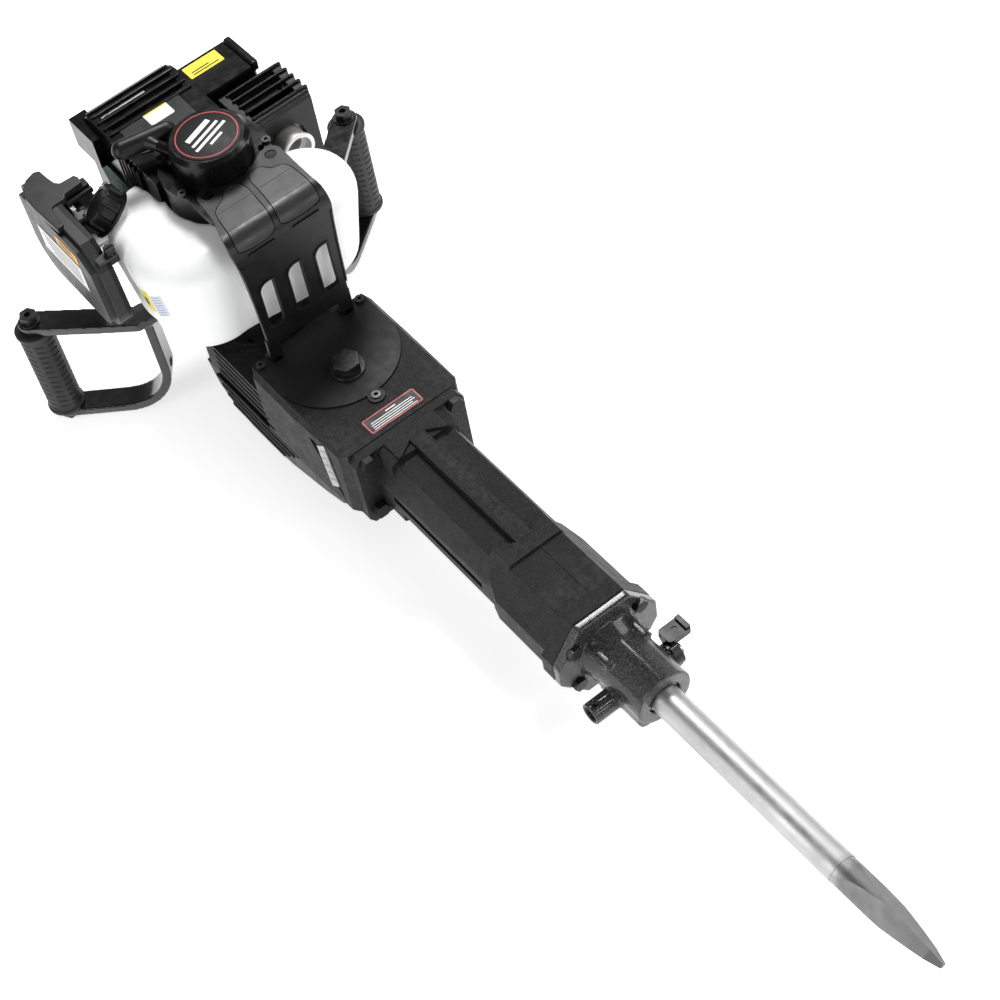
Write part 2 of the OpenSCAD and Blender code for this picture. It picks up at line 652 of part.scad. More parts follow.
module starter_housing() color([0.06, 0.06, 0.06]) difference() {
    union() {
        zc(57, flange_z, flange_z + 6, 0, eng_y);
        rslab(-50, 50, 574, 660, flange_z, flange_z + 6, 6);
        zc(starter_r, flange_z, 247, 0, eng_y);
        translate([0, eng_y, 247]) cylinder(r1 = starter_r, r2 = starter_r - 4, h = 4);
        translate([0, eng_y, 0]) rotate([0, 0, rope_a]) translate([0, rope_r, rope_z]) rotate([0, 90, 0])
            cylinder(r = 6, h = 46);
    }
    difference() {
        zc(starter_r - 3, flange_z - 1, 247.5, 0, eng_y);
        zc(7, 228, 249, 0, eng_y);
    }
    translate([0, eng_y, 0]) rotate([0, 0, rope_a]) translate([20, rope_r, rope_z]) rotate([0, 90, 0])
        cylinder(r = 2.2, h = 40);
    for (x = [-37, 37]) zc(6, flange_z - 1, flange_z + 7, x, 595);
    for (a = [205 : 14 : 335]) translate([0, eng_y, flange_z - 1]) rotate([0, 0, a])
        rslab(44, 50, -4, 4, 0, 8, 2);
    for (p = starter_holes()) zc(2.5, flange_z - 1, flange_z + 7, p[0], p[1]);
}

module starter_screws() color([0.75, 0.75, 0.75])
    for (p = starter_holes()) screw_z(p[0], p[1], flange_z + 6, 2.5, 18, 4.5, 3);

module starter_pulley() color([0.3, 0.3, 0.3]) difference() {
    union() {
        zc(30, 232.5, 234.5, 0, eng_y);
        zc(20, 234.5, 241.5, 0, eng_y);
        zc(30, 241.5, 243.5, 0, eng_y);
        zc(12, 229, 232.5, 0, eng_y);
    }
    zc(7 + run, 228, 244, 0, eng_y);
}

module starter_handle() color([0.05, 0.05, 0.05]) translate([0, eng_y, 0]) rotate([0, 0, rope_a])
    translate([0, rope_r, rope_z]) {
        rotate([0, 90, 0]) translate([0, 0, -26]) cylinder(r = 1.5, h = 92);
        translate([46.5, 0, 0]) rotate([0, 90, 0]) cylinder(r1 = 5, r2 = 8, h = 14);
        // crossbar with rounded ends
        translate([66, 0, 0]) rotate([90, 0, -32]) {
            translate([0, 0, -24]) cylinder(r = 10, h = 48);
            for (z = [-24, 24]) translate([0, 0, z]) sphere(10);
        }
    }

module muffler() color([0.4, 0.4, 0.4]) difference() {
    union() {
        along_x(58, 112) rsq(676, 726, 100, 196, 12);
        slab(44, 58, outlet_y - 12, outlet_y + 12, cyl_z - 12, cyl_z + 12);
    }
    along_x(61, 109) rsq(679, 723, 103, 193, 9);
    xc(9, 43, 62, outlet_y, cyl_z);
    yc(11, 670, 680, exhaust_x, exhaust_z);
}

module muffler_guard() color([0.07, 0.07, 0.07]) difference() {
    union() {
        along_x(54, 127) rsq(668, 734, 96, 208, 8);
    }
    along_x(50, 123) rsq(672, 730, 98, 204, 7);
    slab(50, 130, 660, 760, 90, 112);
    for (i = [0 : 3]) slab(116, 135, 681 + 12 * i, 687 + 12 * i, 122, 190);
    for (i = [0 : 3]) slab(64, 117, 681 + 12 * i, 687 + 12 * i, 198, 214);
    yc(20, 660, 676, exhaust_x, exhaust_z);
}

module exhaust_tube() color([0.7, 0.7, 0.7]) difference() {
    union() {
        yc(11, 653, 679, exhaust_x, exhaust_z);
        yc(18.5, 651, 654, exhaust_x, exhaust_z);
        yc(16, 653, 674, exhaust_x, exhaust_z);
    }
    yc(9.5, 660, 680, exhaust_x, exhaust_z);
    yc(14, 650, 662, exhaust_x, exhaust_z);
}

module insulator() color([0.05, 0.25, 0.15]) difference() {
    along_x(-62, -59.5) polygon([[722, 94], [776, 94], [802, 150], [797, 165], [722, 160]]);
    xc(8, -63, -59, inlet_y, cyl_z);
}

module carburettor() color([0.72, 0.72, 0.73]) difference() {
    union() {
        xc(17, -104, -62, inlet_y, cyl_z);
        xc(15, filter_in, -103, inlet_y, cyl_z);
        slab(-92, -68, inlet_y - 18, inlet_y + 18, cyl_z - 20, cyl_z + 30);
        zc(9, cyl_z + 30, cyl_z + 42, -80, inlet_y + 2);
        zc(4, cyl_z + 42, cyl_z + 50, -80, inlet_y + 2);
        zc(5, cyl_z + 10, cyl_z + 29, choke_pos[0], choke_pos[1]);
    }
    xc(8, filter_in - 1, -61, inlet_y, cyl_z);
    yc(4, inlet_y + 16.5, inlet_y + 19, -80, cyl_z);
    zc(3 + run, cyl_z + 12, cyl_z + 30, choke_pos[0], choke_pos[1]);
}

module filter_plan(g) {
    // outline in (y, z), round underneath and narrow at the lower front
    polygon(concat(arc([660, 122], 24 - g, 180, 270, 10), arc([744, 142], 44 - g, 270, 360, 14),
        arc([776, 192], 12 - g, 0, 90, 6), [[668, 200 - g], [642 + g, 177]]));
}
module filter_base() color([0.07, 0.07, 0.07]) difference() {
    union() {
        along_x(filter_in - 5, filter_in) filter_plan(0);
        slab(filter_in - 1, -127, tab_y[0], tab_y[1], 178, tab_z - 0.4);
    }
    xc(12, filter_in - 6, filter_in + 1, inlet_y, cyl_z);
    slab(filter_in - 6, filter_in + 1, tab_y[0] - 0.5, tab_y[1] + 0.5, tab_z - 0.4, 210);
    zc(2, 177, tab_z, knob_pos[0], knob_pos[1]);
}
// the cover is clamped by a tab that laps over an ear of the base
module filter_cover() color([0.14, 0.14, 0.14]) difference() {
    union() {
        along_x(filter_out + 7, filter_in - 5) filter_plan(0);
        along_x(filter_out, filter_out + 7) filter_plan(6);
        slab(filter_in - 12, -127, tab_y[0], tab_y[1], tab_z, tab_z + 3.5);
    }
    along_x(filter_out + 10, filter_in - 4) filter_plan(4);
    along_x(filter_out + 4, filter_out + 11) filter_plan(10);
    zc(2.4, 177, tab_z + 5, knob_pos[0], knob_pos[1]);
}
module filter_knob() color([0.05, 0.05, 0.05]) translate([knob_pos[0], knob_pos[1], 0]) difference() {
    union() {
        zc(2, 179, tab_z + 4.5);
        zc(5.2, tab_z + 3.7, tab_z + 11);
        for (a = [0 : 45 : 315]) rotate([0, 0, a]) zc(1.4, tab_z + 3.7, tab_z + 11, 4.8, 0);
    }
    slab(-6.5, 6.5, -0.8, 0.8, tab_z + 8, tab_z + 12);
}

module choke_lever() color([0.05, 0.05, 0.05]) {
    zc(3, cyl_z + 13, cyl_z + 36, choke_pos[0], choke_pos[1]);
    translate([choke_pos[0], choke_pos[1], cyl_z + 32]) rotate([0, 0, 90]) rslab(-4, 26, -4, 4, 0, 4, 3.5);
}

module primer_bulb() color([0.25, 0.06, 0.05]) difference() {
    union() {
        yc(9, inlet_y + 21, inlet_y + 30, -80, cyl_z);
        translate([-80, inlet_y + 30, cyl_z]) sphere(9);
    }
    translate([-80, inlet_y + 30, cyl_z]) sphere(7.4);
    yc(7.4, inlet_y + 20, inlet_y + 30, -80, cyl_z);
}

// lobe of the tank: a drum that narrows towards the bottom, all edges rounded, inset by g
module lobe(x, y, top_r, low_r, z0, z1, g) {
    r = 26 - g;
    c0 = [low_r - g - r, z0 + g + r];
    c1 = [top_r - g - r, z1 - g - r];
    lean = atan2(c1[0] - c0[0], c1[1] - c0[1]);
    translate([x, y, 0]) rotate_extrude()
        polygon(concat([[0, z0 + g]], arc(c0, r, -90, -lean), arc(c1, r, -lean, 90), [[0, z1 - g]]));
}
// the two lobes are joined across the front by a rounded bridge
module tank_solid(g) {
    r = 22 - g;
    low_y = 567 + g;
    top_y = 558 + g;
    z0 = 66 + g;
    z1 = 188 - g;
    lobe(-62, 622, 65, 56, 62, 193, g);
    lobe(-62, 656, 64, 55, 63, 194, g);
    lobe(58, 596, 54, 43, 70, 191, g);
    translate([-62, 558, 0]) rotate([0, 0, -7]) translate([62, -558, 0]) along_x(-62, 57)
        polygon(concat([[618, z0]], arc([low_y + r, z0 + r], r, -90, -180),
            arc([top_y + r, z1 - r], r, 180, 90), [[618, z1]]));
}
module at_cap() translate(cap_pos) rotate([0, 0, cap_yaw]) rotate([0, cap_tilt, 0]) children();

module fuel_tank() color([0.93, 0.93, 0.92]) difference() {
    union() {
        tank_solid(0);
        at_cap() translate([0, 0, -8]) cylinder(r = 17, h = 20);
    }
    difference() {
        tank_solid(3);
        zc(61, 50, 220, 0, eng_y);
        slab(-64, 60, 662, 780, 162, 220);
        slab(-66, 60, 690, 780, 50, 220);
    }
    zc(58, 50, 220, 0, eng_y);
    at_cap() translate([0, 0, -20]) cylinder(r = 14, h = 36);
    slab(-63, 60, 692, 780, 50, 220);
    slab(-61, 60, 665, 780, 165, 220);
}

module fuel_cap() color([0.05, 0.05, 0.05]) at_cap() difference() {
    union() {
        translate([0, 0, 6]) cylinder(r = 22, h = 20);
        for (a = [0 : 30 : 330]) rotate([0, 0, a]) translate([21.5, 0, 6]) cylinder(r = 3, h = 20);
    }
    translate([0, 0, 5]) cylinder(r = 17 + 2 * run, h = 17);
}

// ---------- guard, handles and controls ----------

module guard_side(t) {
    // side section of the guard from the feet up into the starter flange
    polygon([[guard_y, 74], [guard_y, 188], [guard_y + 5, 204], [guard_y + 16, 216], [574, 221],
        [574, 215], [guard_y + 18, 210], [guard_y + 9, 200], [guard_y + t, 187], [guard_y + t, 74]]);
}
module tank_guard() color([0.08, 0.08, 0.08]) difference() {
    union() {
        along_x(-guard_w / 2, guard_w / 2) guard_side(5);
        // feet set back from the face
        for (x = [-1, 1]) along_x(x * 44 - 7, x * 44 + 7) polygon([[guard_y, 80], [guard_y + 5, 80],
            [guard_y + 3.5, 72], [guard_y + 3.5, box_top + 5], [548, box_top + 5], [548, box_top], [guard_y, box_top]]);
        for (x = [-25, 25]) along_x(x - 19, x + 19) translate([-2.5, 0]) polygon([[guard_y + 2.6, 176],
            [guard_y + 2.6, 189], [guard_y + 7, 203], [guard_y + 18, 216], [guard_y + 30, 221],
            [guard_y + 30, 214], [guard_y + 14, 205], [guard_y + 8, 190], [guard_y + 6, 176]]);
    }
    for (i = [-1 : 1]) translate([i * slot_pitch, 0, 0]) along_slot();
    for (p = guard_feet()) zc(3, box_top - 1, 60, p[0], p[1]);
}
module along_slot() along_y(guard_y - 5, guard_y + 8) rsq(-8.5, 8.5, 100, 160, 4);

module guard_bolts() color([0.3, 0.3, 0.3]) for (p = guard_feet())
    screw_z(p[0], p[1], box_top + 5, 3, 18, 4.5, 4);

// upper arm to the ear, lower arm turned up into the upright strap that joins them
module handle_one() difference() {
    union() {
        bar_path([[grip_x, grip_y], [150, 718], [120, 692], [66, 686]], bar_w, arm_z, arm_z + bar_t);
        translate([grip_x, grip_y, 0]) rotate([0, 0, lower_a]) lower_arm();
    }
    zc(6, low_z - 1, arm_z + bar_t + 1, grip_x, grip_y);
    for (p = arm_bolts()) zc(4, 15, 60, p[0], p[1]);
    translate([grip_x, grip_y, 0]) rotate([0, 0, lower_a]) xc(5, strap_d - 12, strap_d + 12, 0, -33);
}
// flat bar out from the grip along X, bent up into the strap; the bend turns about an axis along Y
module lower_arm() {
    zc(bar_w / 2, low_z, low_z + bar_t);
    slab(0, strap_d - bend_r, -bar_w / 2, bar_w / 2, low_z, low_z + bar_t);
    translate([strap_d - bend_r, bar_w / 2, low_z + bend_r + bar_t]) rotate([90, 0, 0]) rotate([0, 0, -90])
        rotate_extrude(angle = 90) translate([bend_r, 0]) square([bar_t, bar_w]);
    slab(strap_d, strap_d + bar_t, -bar_w / 2, bar_w / 2, low_z + bend_r + bar_t, arm_z + 4);
}

module handles() color([0.05, 0.05, 0.05]) both() handle_one();

module grips() color([0.08, 0.08, 0.08]) both() difference() {
    union() {
        zc(grip_r, low_z + bar_t, arm_z, grip_x, grip_y);
        for (z = [low_z + bar_t, arm_z - 5]) zc(grip_r + 1.5, z, z + 5, grip_x, grip_y);
    }
    zc(6, low_z, arm_z + 1, grip_x, grip_y);
    for (z = [-67 : 16 : 29]) translate([grip_x, grip_y, z]) difference() {
        cylinder(r = grip_r + 1, h = 1.6);
        translate([0, 0, -1]) cylinder(r = grip_r - 1.2, h = 4);
    }
}

module handle_bolts() color([0.15, 0.15, 0.15]) both() {
    zc(6, low_z - 10, arm_z + bar_t, grip_x, grip_y);
    difference() {
        union() {
            zc(12, arm_z + bar_t, arm_z + bar_t + 2, grip_x, grip_y);
            translate([grip_x, grip_y, arm_z + bar_t + 2]) cylinder(d = 17 / cos(30), h = 8, $fn = 6);
        }
        zc(3.5, arm_z + bar_t + 6, arm_z + bar_t + 11, grip_x, grip_y);
    }
    translate([grip_x, grip_y, low_z - 8]) cylinder(d = 17 / cos(30), h = 8, $fn = 6);
    for (p = arm_bolts()) {
        zc(4, 22, arm_z + bar_t, p[0], p[1]);
        translate([p[0], p[1], arm_z + bar_t]) cylinder(d = 13 / cos(30), h = 5, $fn = 6);
        translate([p[0], p[1], 24]) cylinder(d = 13 / cos(30), h = 6, $fn = 6);
    }
}

// the throttle sits at the low end of the right grip
module low_end() translate([0, 0, low_z + arm_z + bar_t]) mirror([0, 0, 1]) children();

module throttle_mount() color([0.06, 0.06, 0.06]) low_end() difference() {
    union() {
        rslab(grip_x - 11, grip_x + 11, grip_y + 21, grip_y + 37, 28, 58, 3);
        slab(grip_x - 11, grip_x + 11, grip_y + 12, grip_y + 22, arm_z + bar_t, 58);
        xc(3, grip_x - 16, grip_x + 16, grip_y + 33, 20);
        for (x = [-14, 14]) along_x(grip_x + x - 2, grip_x + x + 2) rsq(grip_y + 28, grip_y + 38, 14, 32, 3);
        for (x = [-11.5, 11.5]) slab(grip_x + x - 1.5, grip_x + x + 1.5, grip_y + 28, grip_y + 36, 28, 34);
    }
    zc(12.3, arm_z + bar_t - 1, arm_z + bar_t + 14, grip_x, grip_y);
}

module throttle_lever() color([0.05, 0.05, 0.05]) low_end() difference() {
    union() {
        xc(7, grip_x - 9, grip_x + 9, grip_y + 33, 20);
        along_x(grip_x - 7, grip_x + 7) polygon([[grip_y + 30, 20], [grip_y + 40, 18], [grip_y + 44, -34],
            [grip_y + 39, -40], [grip_y + 32, -10]]);
    }
    xc(3 + run, grip_x - 12, grip_x + 12, grip_y + 33, 20);
}

chisel();
front_cover();
tool_sleeve();
front_cover_bolts();
retainer_shaft();
retainer_lever();
anvil();
cylinder_case();
case_bolts();
cylinder_liner();
striker();
piston();
wrist_pin();
hammer_rod();
crank_gear();
hammer_crankshaft();
gearbox_housing();
crank_cover();
crank_cover_screws();
cover_plug();
plug_washer();
nameplate();
side_badges();
louvre_cover();
louvre_cover_screws();
idler_gear();
bearings();
clutch_drum();
clutch_shoes();
clutch_housing();
crankcase();
engine_crankshaft();
cylinder_block();
flywheel();
starter_housing();
starter_screws();
starter_pulley();
starter_handle();
engine_shroud();
spark_plug();
plug_cap();
muffler();
muffler_guard();
exhaust_tube();
carburettor();
insulator();
filter_base();
filter_cover();
filter_knob();
choke_lever();
primer_bulb();
fuel_tank();
fuel_cap();
tank_guard();
guard_bolts();
handles();
grips();
handle_bolts();
throttle_lever();
throttle_mount();
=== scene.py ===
import json
import math

import bmesh
import bpy
from mathutils import Matrix, Vector
from mathutils.bvhtree import BVHTree


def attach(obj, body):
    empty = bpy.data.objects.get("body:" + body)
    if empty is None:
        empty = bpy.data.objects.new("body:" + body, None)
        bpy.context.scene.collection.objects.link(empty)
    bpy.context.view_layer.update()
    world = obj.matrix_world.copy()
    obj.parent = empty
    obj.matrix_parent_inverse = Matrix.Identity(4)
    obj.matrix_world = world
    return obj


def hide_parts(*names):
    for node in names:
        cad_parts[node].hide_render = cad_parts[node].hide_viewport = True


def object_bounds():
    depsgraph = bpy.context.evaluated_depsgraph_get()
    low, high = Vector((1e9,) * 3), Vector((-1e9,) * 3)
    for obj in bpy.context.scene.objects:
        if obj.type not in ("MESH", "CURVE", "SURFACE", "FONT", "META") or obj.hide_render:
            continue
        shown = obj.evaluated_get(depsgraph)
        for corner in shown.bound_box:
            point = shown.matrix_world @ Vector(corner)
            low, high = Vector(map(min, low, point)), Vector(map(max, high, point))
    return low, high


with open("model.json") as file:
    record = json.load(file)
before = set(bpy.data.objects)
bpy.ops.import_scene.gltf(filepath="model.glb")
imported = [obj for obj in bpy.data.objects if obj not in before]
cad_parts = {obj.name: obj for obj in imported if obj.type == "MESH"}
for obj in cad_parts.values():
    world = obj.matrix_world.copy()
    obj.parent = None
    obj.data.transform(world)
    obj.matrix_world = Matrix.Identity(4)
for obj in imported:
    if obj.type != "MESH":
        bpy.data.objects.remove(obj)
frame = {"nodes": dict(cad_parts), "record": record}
cad_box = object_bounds()
RECORD = frame["record"]
BODY = {n: b for b, ns in RECORD["behaviour"]["bodies"].items() for n in ns}
SLOT = {p["node"]: p["material_slot"] for p in RECORD["subparts"]}
MM = 0.001
COLL = bpy.context.scene.collection


def mm(*p):
    """A point given in mm, in the scene's metres."""
    return Vector(p) * MM


# ---------- materials ----------

def new_mat(name):
    m = bpy.data.materials.new(name)
    m.use_nodes = True
    nt = m.node_tree
    return m, nt, nt.nodes["Principled BSDF"]


def link(nt, a, b):
    nt.links.new(a, b)


def node(nt, kind, **inputs):
    """A shader node with the given inputs and properties set."""
    n = nt.nodes.new(kind)
    for k, v in inputs.items():
        if k in n.inputs.keys():
            n.inputs[k].default_value = v
        else:
            setattr(n, k, v)
    return n


def noise(nt, coord, scale, detail=3.0, rough=0.6, stretch=None):
    n = node(nt, "ShaderNodeTexNoise", Scale=scale, Detail=detail, Roughness=rough)
    if stretch:
        mp = nt.nodes.new("ShaderNodeMapping")
        mp.inputs["Scale"].default_value = stretch
        link(nt, coord, mp.inputs["Vector"])
        coord = mp.outputs["Vector"]
    link(nt, coord, n.inputs["Vector"])
    return n


def spread(nt, value, lo, hi, a=0.3, b=0.7):
    """The value mapped from a..b to lo..hi."""
    r = node(nt, "ShaderNodeMapRange")
    r.inputs["From Min"].default_value = a
    r.inputs["From Max"].default_value = b
    r.inputs["To Min"].default_value = lo
    r.inputs["To Max"].default_value = hi
    link(nt, value, r.inputs["Value"])
    return r.outputs["Result"]


def surface(name, color, rough, metal=0.0, grain=900, bump=0.2, depth=0.0002, vary=0.25,
            rough_vary=0.08, coat=0.0, edge_wear_and_highlight=0.0, edge_wear_and_highlight_color=(0.5, 0.5, 0.5), stretch=None,
            detail=3.0, spec=0.5, sss=0.0, grain2=None, painted_glints=0.0, painted_glow=0.0):
    """Principled surface: grain bump at a real scale, colour and roughness that vary, edges painted lighter
    as highlight and wear, pale specks painted as glints, and an optional painted glow.
    """
    m, nt, p = new_mat(name)
    co = nt.nodes.new("ShaderNodeTexCoord").outputs["Object"]
    p.inputs["Metallic"].default_value = metal
    p.inputs["Coat Weight"].default_value = coat
    p.inputs["Coat Roughness"].default_value = 0.12
    # The emission below is a painted glow: light the surface gives off though it is no lamp.
    p.inputs["Emission Color"].default_value = (1, 1, 1, 1)
    p.inputs["Emission Strength"].default_value = painted_glow
    p.inputs["Specular IOR Level"].default_value = spec
    big = noise(nt, co, 22, 4.0)
    mix = node(nt, "ShaderNodeMix", data_type="RGBA")
    mix.inputs["A"].default_value = (*[c * (1 - vary) for c in color], 1)
    mix.inputs["B"].default_value = (*[min(1, c * (1 + vary)) for c in color], 1)
    link(nt, spread(nt, big.outputs["Fac"], 0, 1), mix.inputs["Factor"])
    out = mix.outputs["Result"]
    # Edges found by pointiness are painted lighter in patches: painted highlights along the edges, together
    # with edge wear.
    if edge_wear_and_highlight > 0:
        geo = nt.nodes.new("ShaderNodeNewGeometry")
        edge = spread(nt, geo.outputs["Pointiness"], 0, edge_wear_and_highlight, 0.51, 0.57)
        patch = noise(nt, co, 160, 5.0)
        mul = node(nt, "ShaderNodeMath", operation="MULTIPLY")
        link(nt, edge, mul.inputs[0])
        link(nt, spread(nt, patch.outputs["Fac"], 0, 1, 0.42, 0.6), mul.inputs[1])
        edge_wear_and_highlight_mix = node(nt, "ShaderNodeMix", data_type="RGBA")
        edge_wear_and_highlight_mix.inputs["B"].default_value = (*edge_wear_and_highlight_color, 1)
        link(nt, out, edge_wear_and_highlight_mix.inputs["A"])
        link(nt, mul.outputs[0], edge_wear_and_highlight_mix.inputs["Factor"])
        out = edge_wear_and_highlight_mix.outputs["Result"]
    # Pale specks mixed into the base colour: painted glints that stand in for the sparkle of the surface.
    if painted_glints:
        glint_dots = noise(nt, co, grain * 1.3, 2.0)
        glint_mix = node(nt, "ShaderNodeMix", data_type="RGBA")
        glint_mix.inputs["B"].default_value = (painted_glints, painted_glints, painted_glints, 1)
        link(nt, out, glint_mix.inputs["A"])
        link(nt, spread(nt, glint_dots.outputs["Fac"], 0, 1, 0.5, 0.68), glint_mix.inputs["Factor"])
        out = glint_mix.outputs["Result"]
    link(nt, out, p.inputs["Base Color"])
    mid = noise(nt, co, 70, 4.0)
    link(nt, spread(nt, mid.outputs["Fac"], rough - rough_vary, rough + rough_vary), p.inputs["Roughness"])
    fine = noise(nt, co, grain, detail, 0.6, stretch)
    height = fine.outputs["Fac"]
    if grain2:
        second = noise(nt, co, grain2, 2.0)
        add = node(nt, "ShaderNodeMath", operation="ADD")
        link(nt, height, add.inputs[0])
        link(nt, second.outputs["Fac"], add.inputs[1])
        height = add.outputs[0]
    b = node(nt, "ShaderNodeBump", Strength=bump, Distance=depth)
    link(nt, height, b.inputs["Height"])
    link(nt, b.outputs["Normal"], p.inputs["Normal"])
    if sss:
        p.inputs["Subsurface Weight"].default_value = sss
        p.inputs["Subsurface Radius"].default_value = (0.02, 0.02, 0.018)
        p.inputs["Subsurface Scale"].default_value = 0.5
    return m


MATS = {
    # cast_black's lighter edges are a painted highlight along the cast edges, and its pale specks are painted
    # glints.
    "cast_black": surface("cast_black", (0.0055, 0.0055, 0.0058), 0.48, grain=620, bump=0.9, depth=0.0006,
                          edge_wear_and_highlight=0.5, edge_wear_and_highlight_color=(0.045, 0.045, 0.045), grain2=1500, spec=0.24, painted_glints=0.032),
    "cover_black": surface("cover_black", (0.0085, 0.0085, 0.0089), 0.5, grain=1300, bump=0.25,
                           depth=0.0002, spec=0.2),
    # The pale specks of nose_black are painted glints for its sparkly highlights.
    "nose_black": surface("nose_black", (0.004, 0.004, 0.0042), 0.22, grain=640, bump=1.0, depth=0.0022,
                          painted_glints=0.1, coat=0.6, grain2=1300, rough_vary=0.08),
    "gloss_paint": surface("gloss_paint", (0.004, 0.004, 0.0045), 0.2, grain=240, bump=0.12, depth=0.0003,
                           coat=0.6),
    # black_oxide's lighter edges stand for worn edges and for small painted highlights on the socket caps.
    "black_oxide": surface("black_oxide", (0.007, 0.007, 0.0074), 0.34, metal=0.1, grain=1500, bump=0.2,
                           edge_wear_and_highlight=0.2, edge_wear_and_highlight_color=(0.12, 0.12, 0.12), spec=0.4),
    "machined_steel": surface("machined_steel", (0.42, 0.42, 0.43), 0.3, metal=1.0, grain=60, bump=0.1,
                              stretch=(1, 40, 1)),
    "gear_steel": surface("gear_steel", (0.3, 0.3, 0.31), 0.36, metal=1.0, grain=900, bump=0.15),
    "bearing_steel": surface("bearing_steel", (0.6, 0.6, 0.61), 0.18, metal=1.0, grain=1500, bump=0.05),
    "bright_screw": surface("bright_screw", (0.55, 0.55, 0.56), 0.3, metal=1.0, grain=1800, bump=0.12),
    "cast_aluminium": surface("cast_aluminium", (0.42, 0.42, 0.43), 0.46, metal=0.9, grain=700, bump=0.5,
                              depth=0.0004),
    "bright_aluminium": surface("bright_aluminium", (0.62, 0.62, 0.63), 0.3, metal=0.95, grain=900,
                                bump=0.3),
    "gloss_black_plastic": surface("gloss_black_plastic", (0.0026, 0.0026, 0.0029), 0.22, grain=500,
                                   bump=0.1, depth=0.0002, rough_vary=0.06, spec=0.3),
    "black_plastic": surface("black_plastic", (0.0045, 0.0045, 0.0049), 0.38, grain=2200, bump=0.3,
                             depth=0.0002, spec=0.34),
    "grey_plastic": surface("grey_plastic", (0.017, 0.0174, 0.0185), 0.42, grain=2400, bump=0.35,
                            depth=0.0002),
    # The tank's small emission is painted light that brightens the white plastic.
    "tank_plastic": surface("tank_plastic", (0.9, 0.905, 0.905), 0.38, grain=300, bump=0.1, depth=0.0003,
                            vary=0.02, sss=0.35, rough_vary=0.06, painted_glow=0.07),
    "rubber": surface("rubber", (0.01, 0.01, 0.0104), 0.55, grain=1400, bump=0.45, depth=0.0003, vary=0.35),
    "porcelain": surface("porcelain", (0.78, 0.77, 0.73), 0.2, grain=300, bump=0.05, coat=0.5, vary=0.03),
    "gasket_green": surface("gasket_green", (0.004, 0.05, 0.024), 0.6, grain=1600, bump=0.3, spec=0.12),
    "muffler_steel": surface("muffler_steel", (0.2, 0.19, 0.18), 0.42, metal=0.95, grain=500, bump=0.3,
                             vary=0.4),
    "exhaust_steel": surface("exhaust_steel", (0.72, 0.71, 0.69), 0.42, metal=0.6, grain=350, bump=0.25,
                             vary=0.2),
    "primer_rubber": surface("primer_rubber", (0.28, 0.03, 0.02), 0.35, grain=900, bump=0.1, sss=0.2),
    "friction": surface("friction", (0.12, 0.1, 0.09), 0.8, grain=900, bump=0.6, depth=0.0005),
    "label_black": surface("label_black", (0.006, 0.006, 0.006), 0.42, grain=2500, bump=0.1, spec=0.2),
    "badge_silver": surface("badge_silver", (0.5, 0.5, 0.5), 0.34, metal=0.7, grain=80, bump=0.2,
                            stretch=(1, 1, 30)),
    "print_white": surface("print_white", (0.78, 0.78, 0.77), 0.45, grain=2500, bump=0.05, vary=0.04),
    "print_red": surface("print_red", (0.5, 0.02, 0.025), 0.45, grain=2500, bump=0.05, vary=0.1),
    "print_yellow": surface("print_yellow", (0.85, 0.72, 0.03), 0.42, grain=2500, bump=0.05, vary=0.05),
    "print_orange": surface("print_orange", (0.85, 0.42, 0.03), 0.42, grain=2500, bump=0.05, vary=0.05),
    "guard_grey": surface("guard_grey", (0.017, 0.017, 0.0178), 0.4, grain=2400, bump=0.15, depth=0.0002,
                          vary=0.1, spec=0.4),
    "print_blue": surface("print_blue", (0.62, 0.68, 0.8), 0.45, grain=2500, bump=0.05, vary=0.05),
}


def tool_steel():
    """Ground shaft with rings round the axis, turning darker on the forged point."""
    m = surface("tool_steel", (0.5, 0.5, 0.505), 0.45, metal=1.0, grain=60, bump=0.2, depth=0.0002,
                stretch=(1, 45, 1), vary=0.1)
    nt = m.node_tree
    p = nt.nodes["Principled BSDF"]
    co = nt.nodes.new("ShaderNodeTexCoord").outputs["Object"]
    sep = nt.nodes.new("ShaderNodeSeparateXYZ")
    link(nt, co, sep.inputs[0])
    wob = noise(nt, co, 90, 3.0)
    add = node(nt, "ShaderNodeMath", operation="MULTIPLY_ADD")
    link(nt, wob.outputs["Fac"], add.inputs[0])
    add.inputs[1].default_value = 0.012
    link(nt, sep.outputs["Y"], add.inputs[2])
    fac = spread(nt, add.outputs[0], 1.0, 0.0, -0.222, -0.208)
    old = p.inputs["Base Color"].links[0].from_socket
    mix = node(nt, "ShaderNodeMix", data_type="RGBA")
    mix.inputs["B"].default_value = (0.2, 0.2, 0.203, 1)
    link(nt, old, mix.inputs["A"])
    link(nt, fac, mix.inputs["Factor"])
    link(nt, mix.outputs["Result"], p.inputs["Base Color"])
    return m


MATS["tool_steel"] = tool_steel()

# ---------- mesh helpers ----------


def mesh_of(obj):
    """The object's mesh with its modifiers applied."""
    deps = bpy.context.evaluated_depsgraph_get()
    return bpy.data.meshes.new_from_object(obj.evaluated_get(deps))


def shade(me, angle=38):
    """Smooth shading with hard edges where faces meet at more than the angle."""
    me.shade_smooth()
    me.set_sharp_from_angle(angle=math.radians(angle))


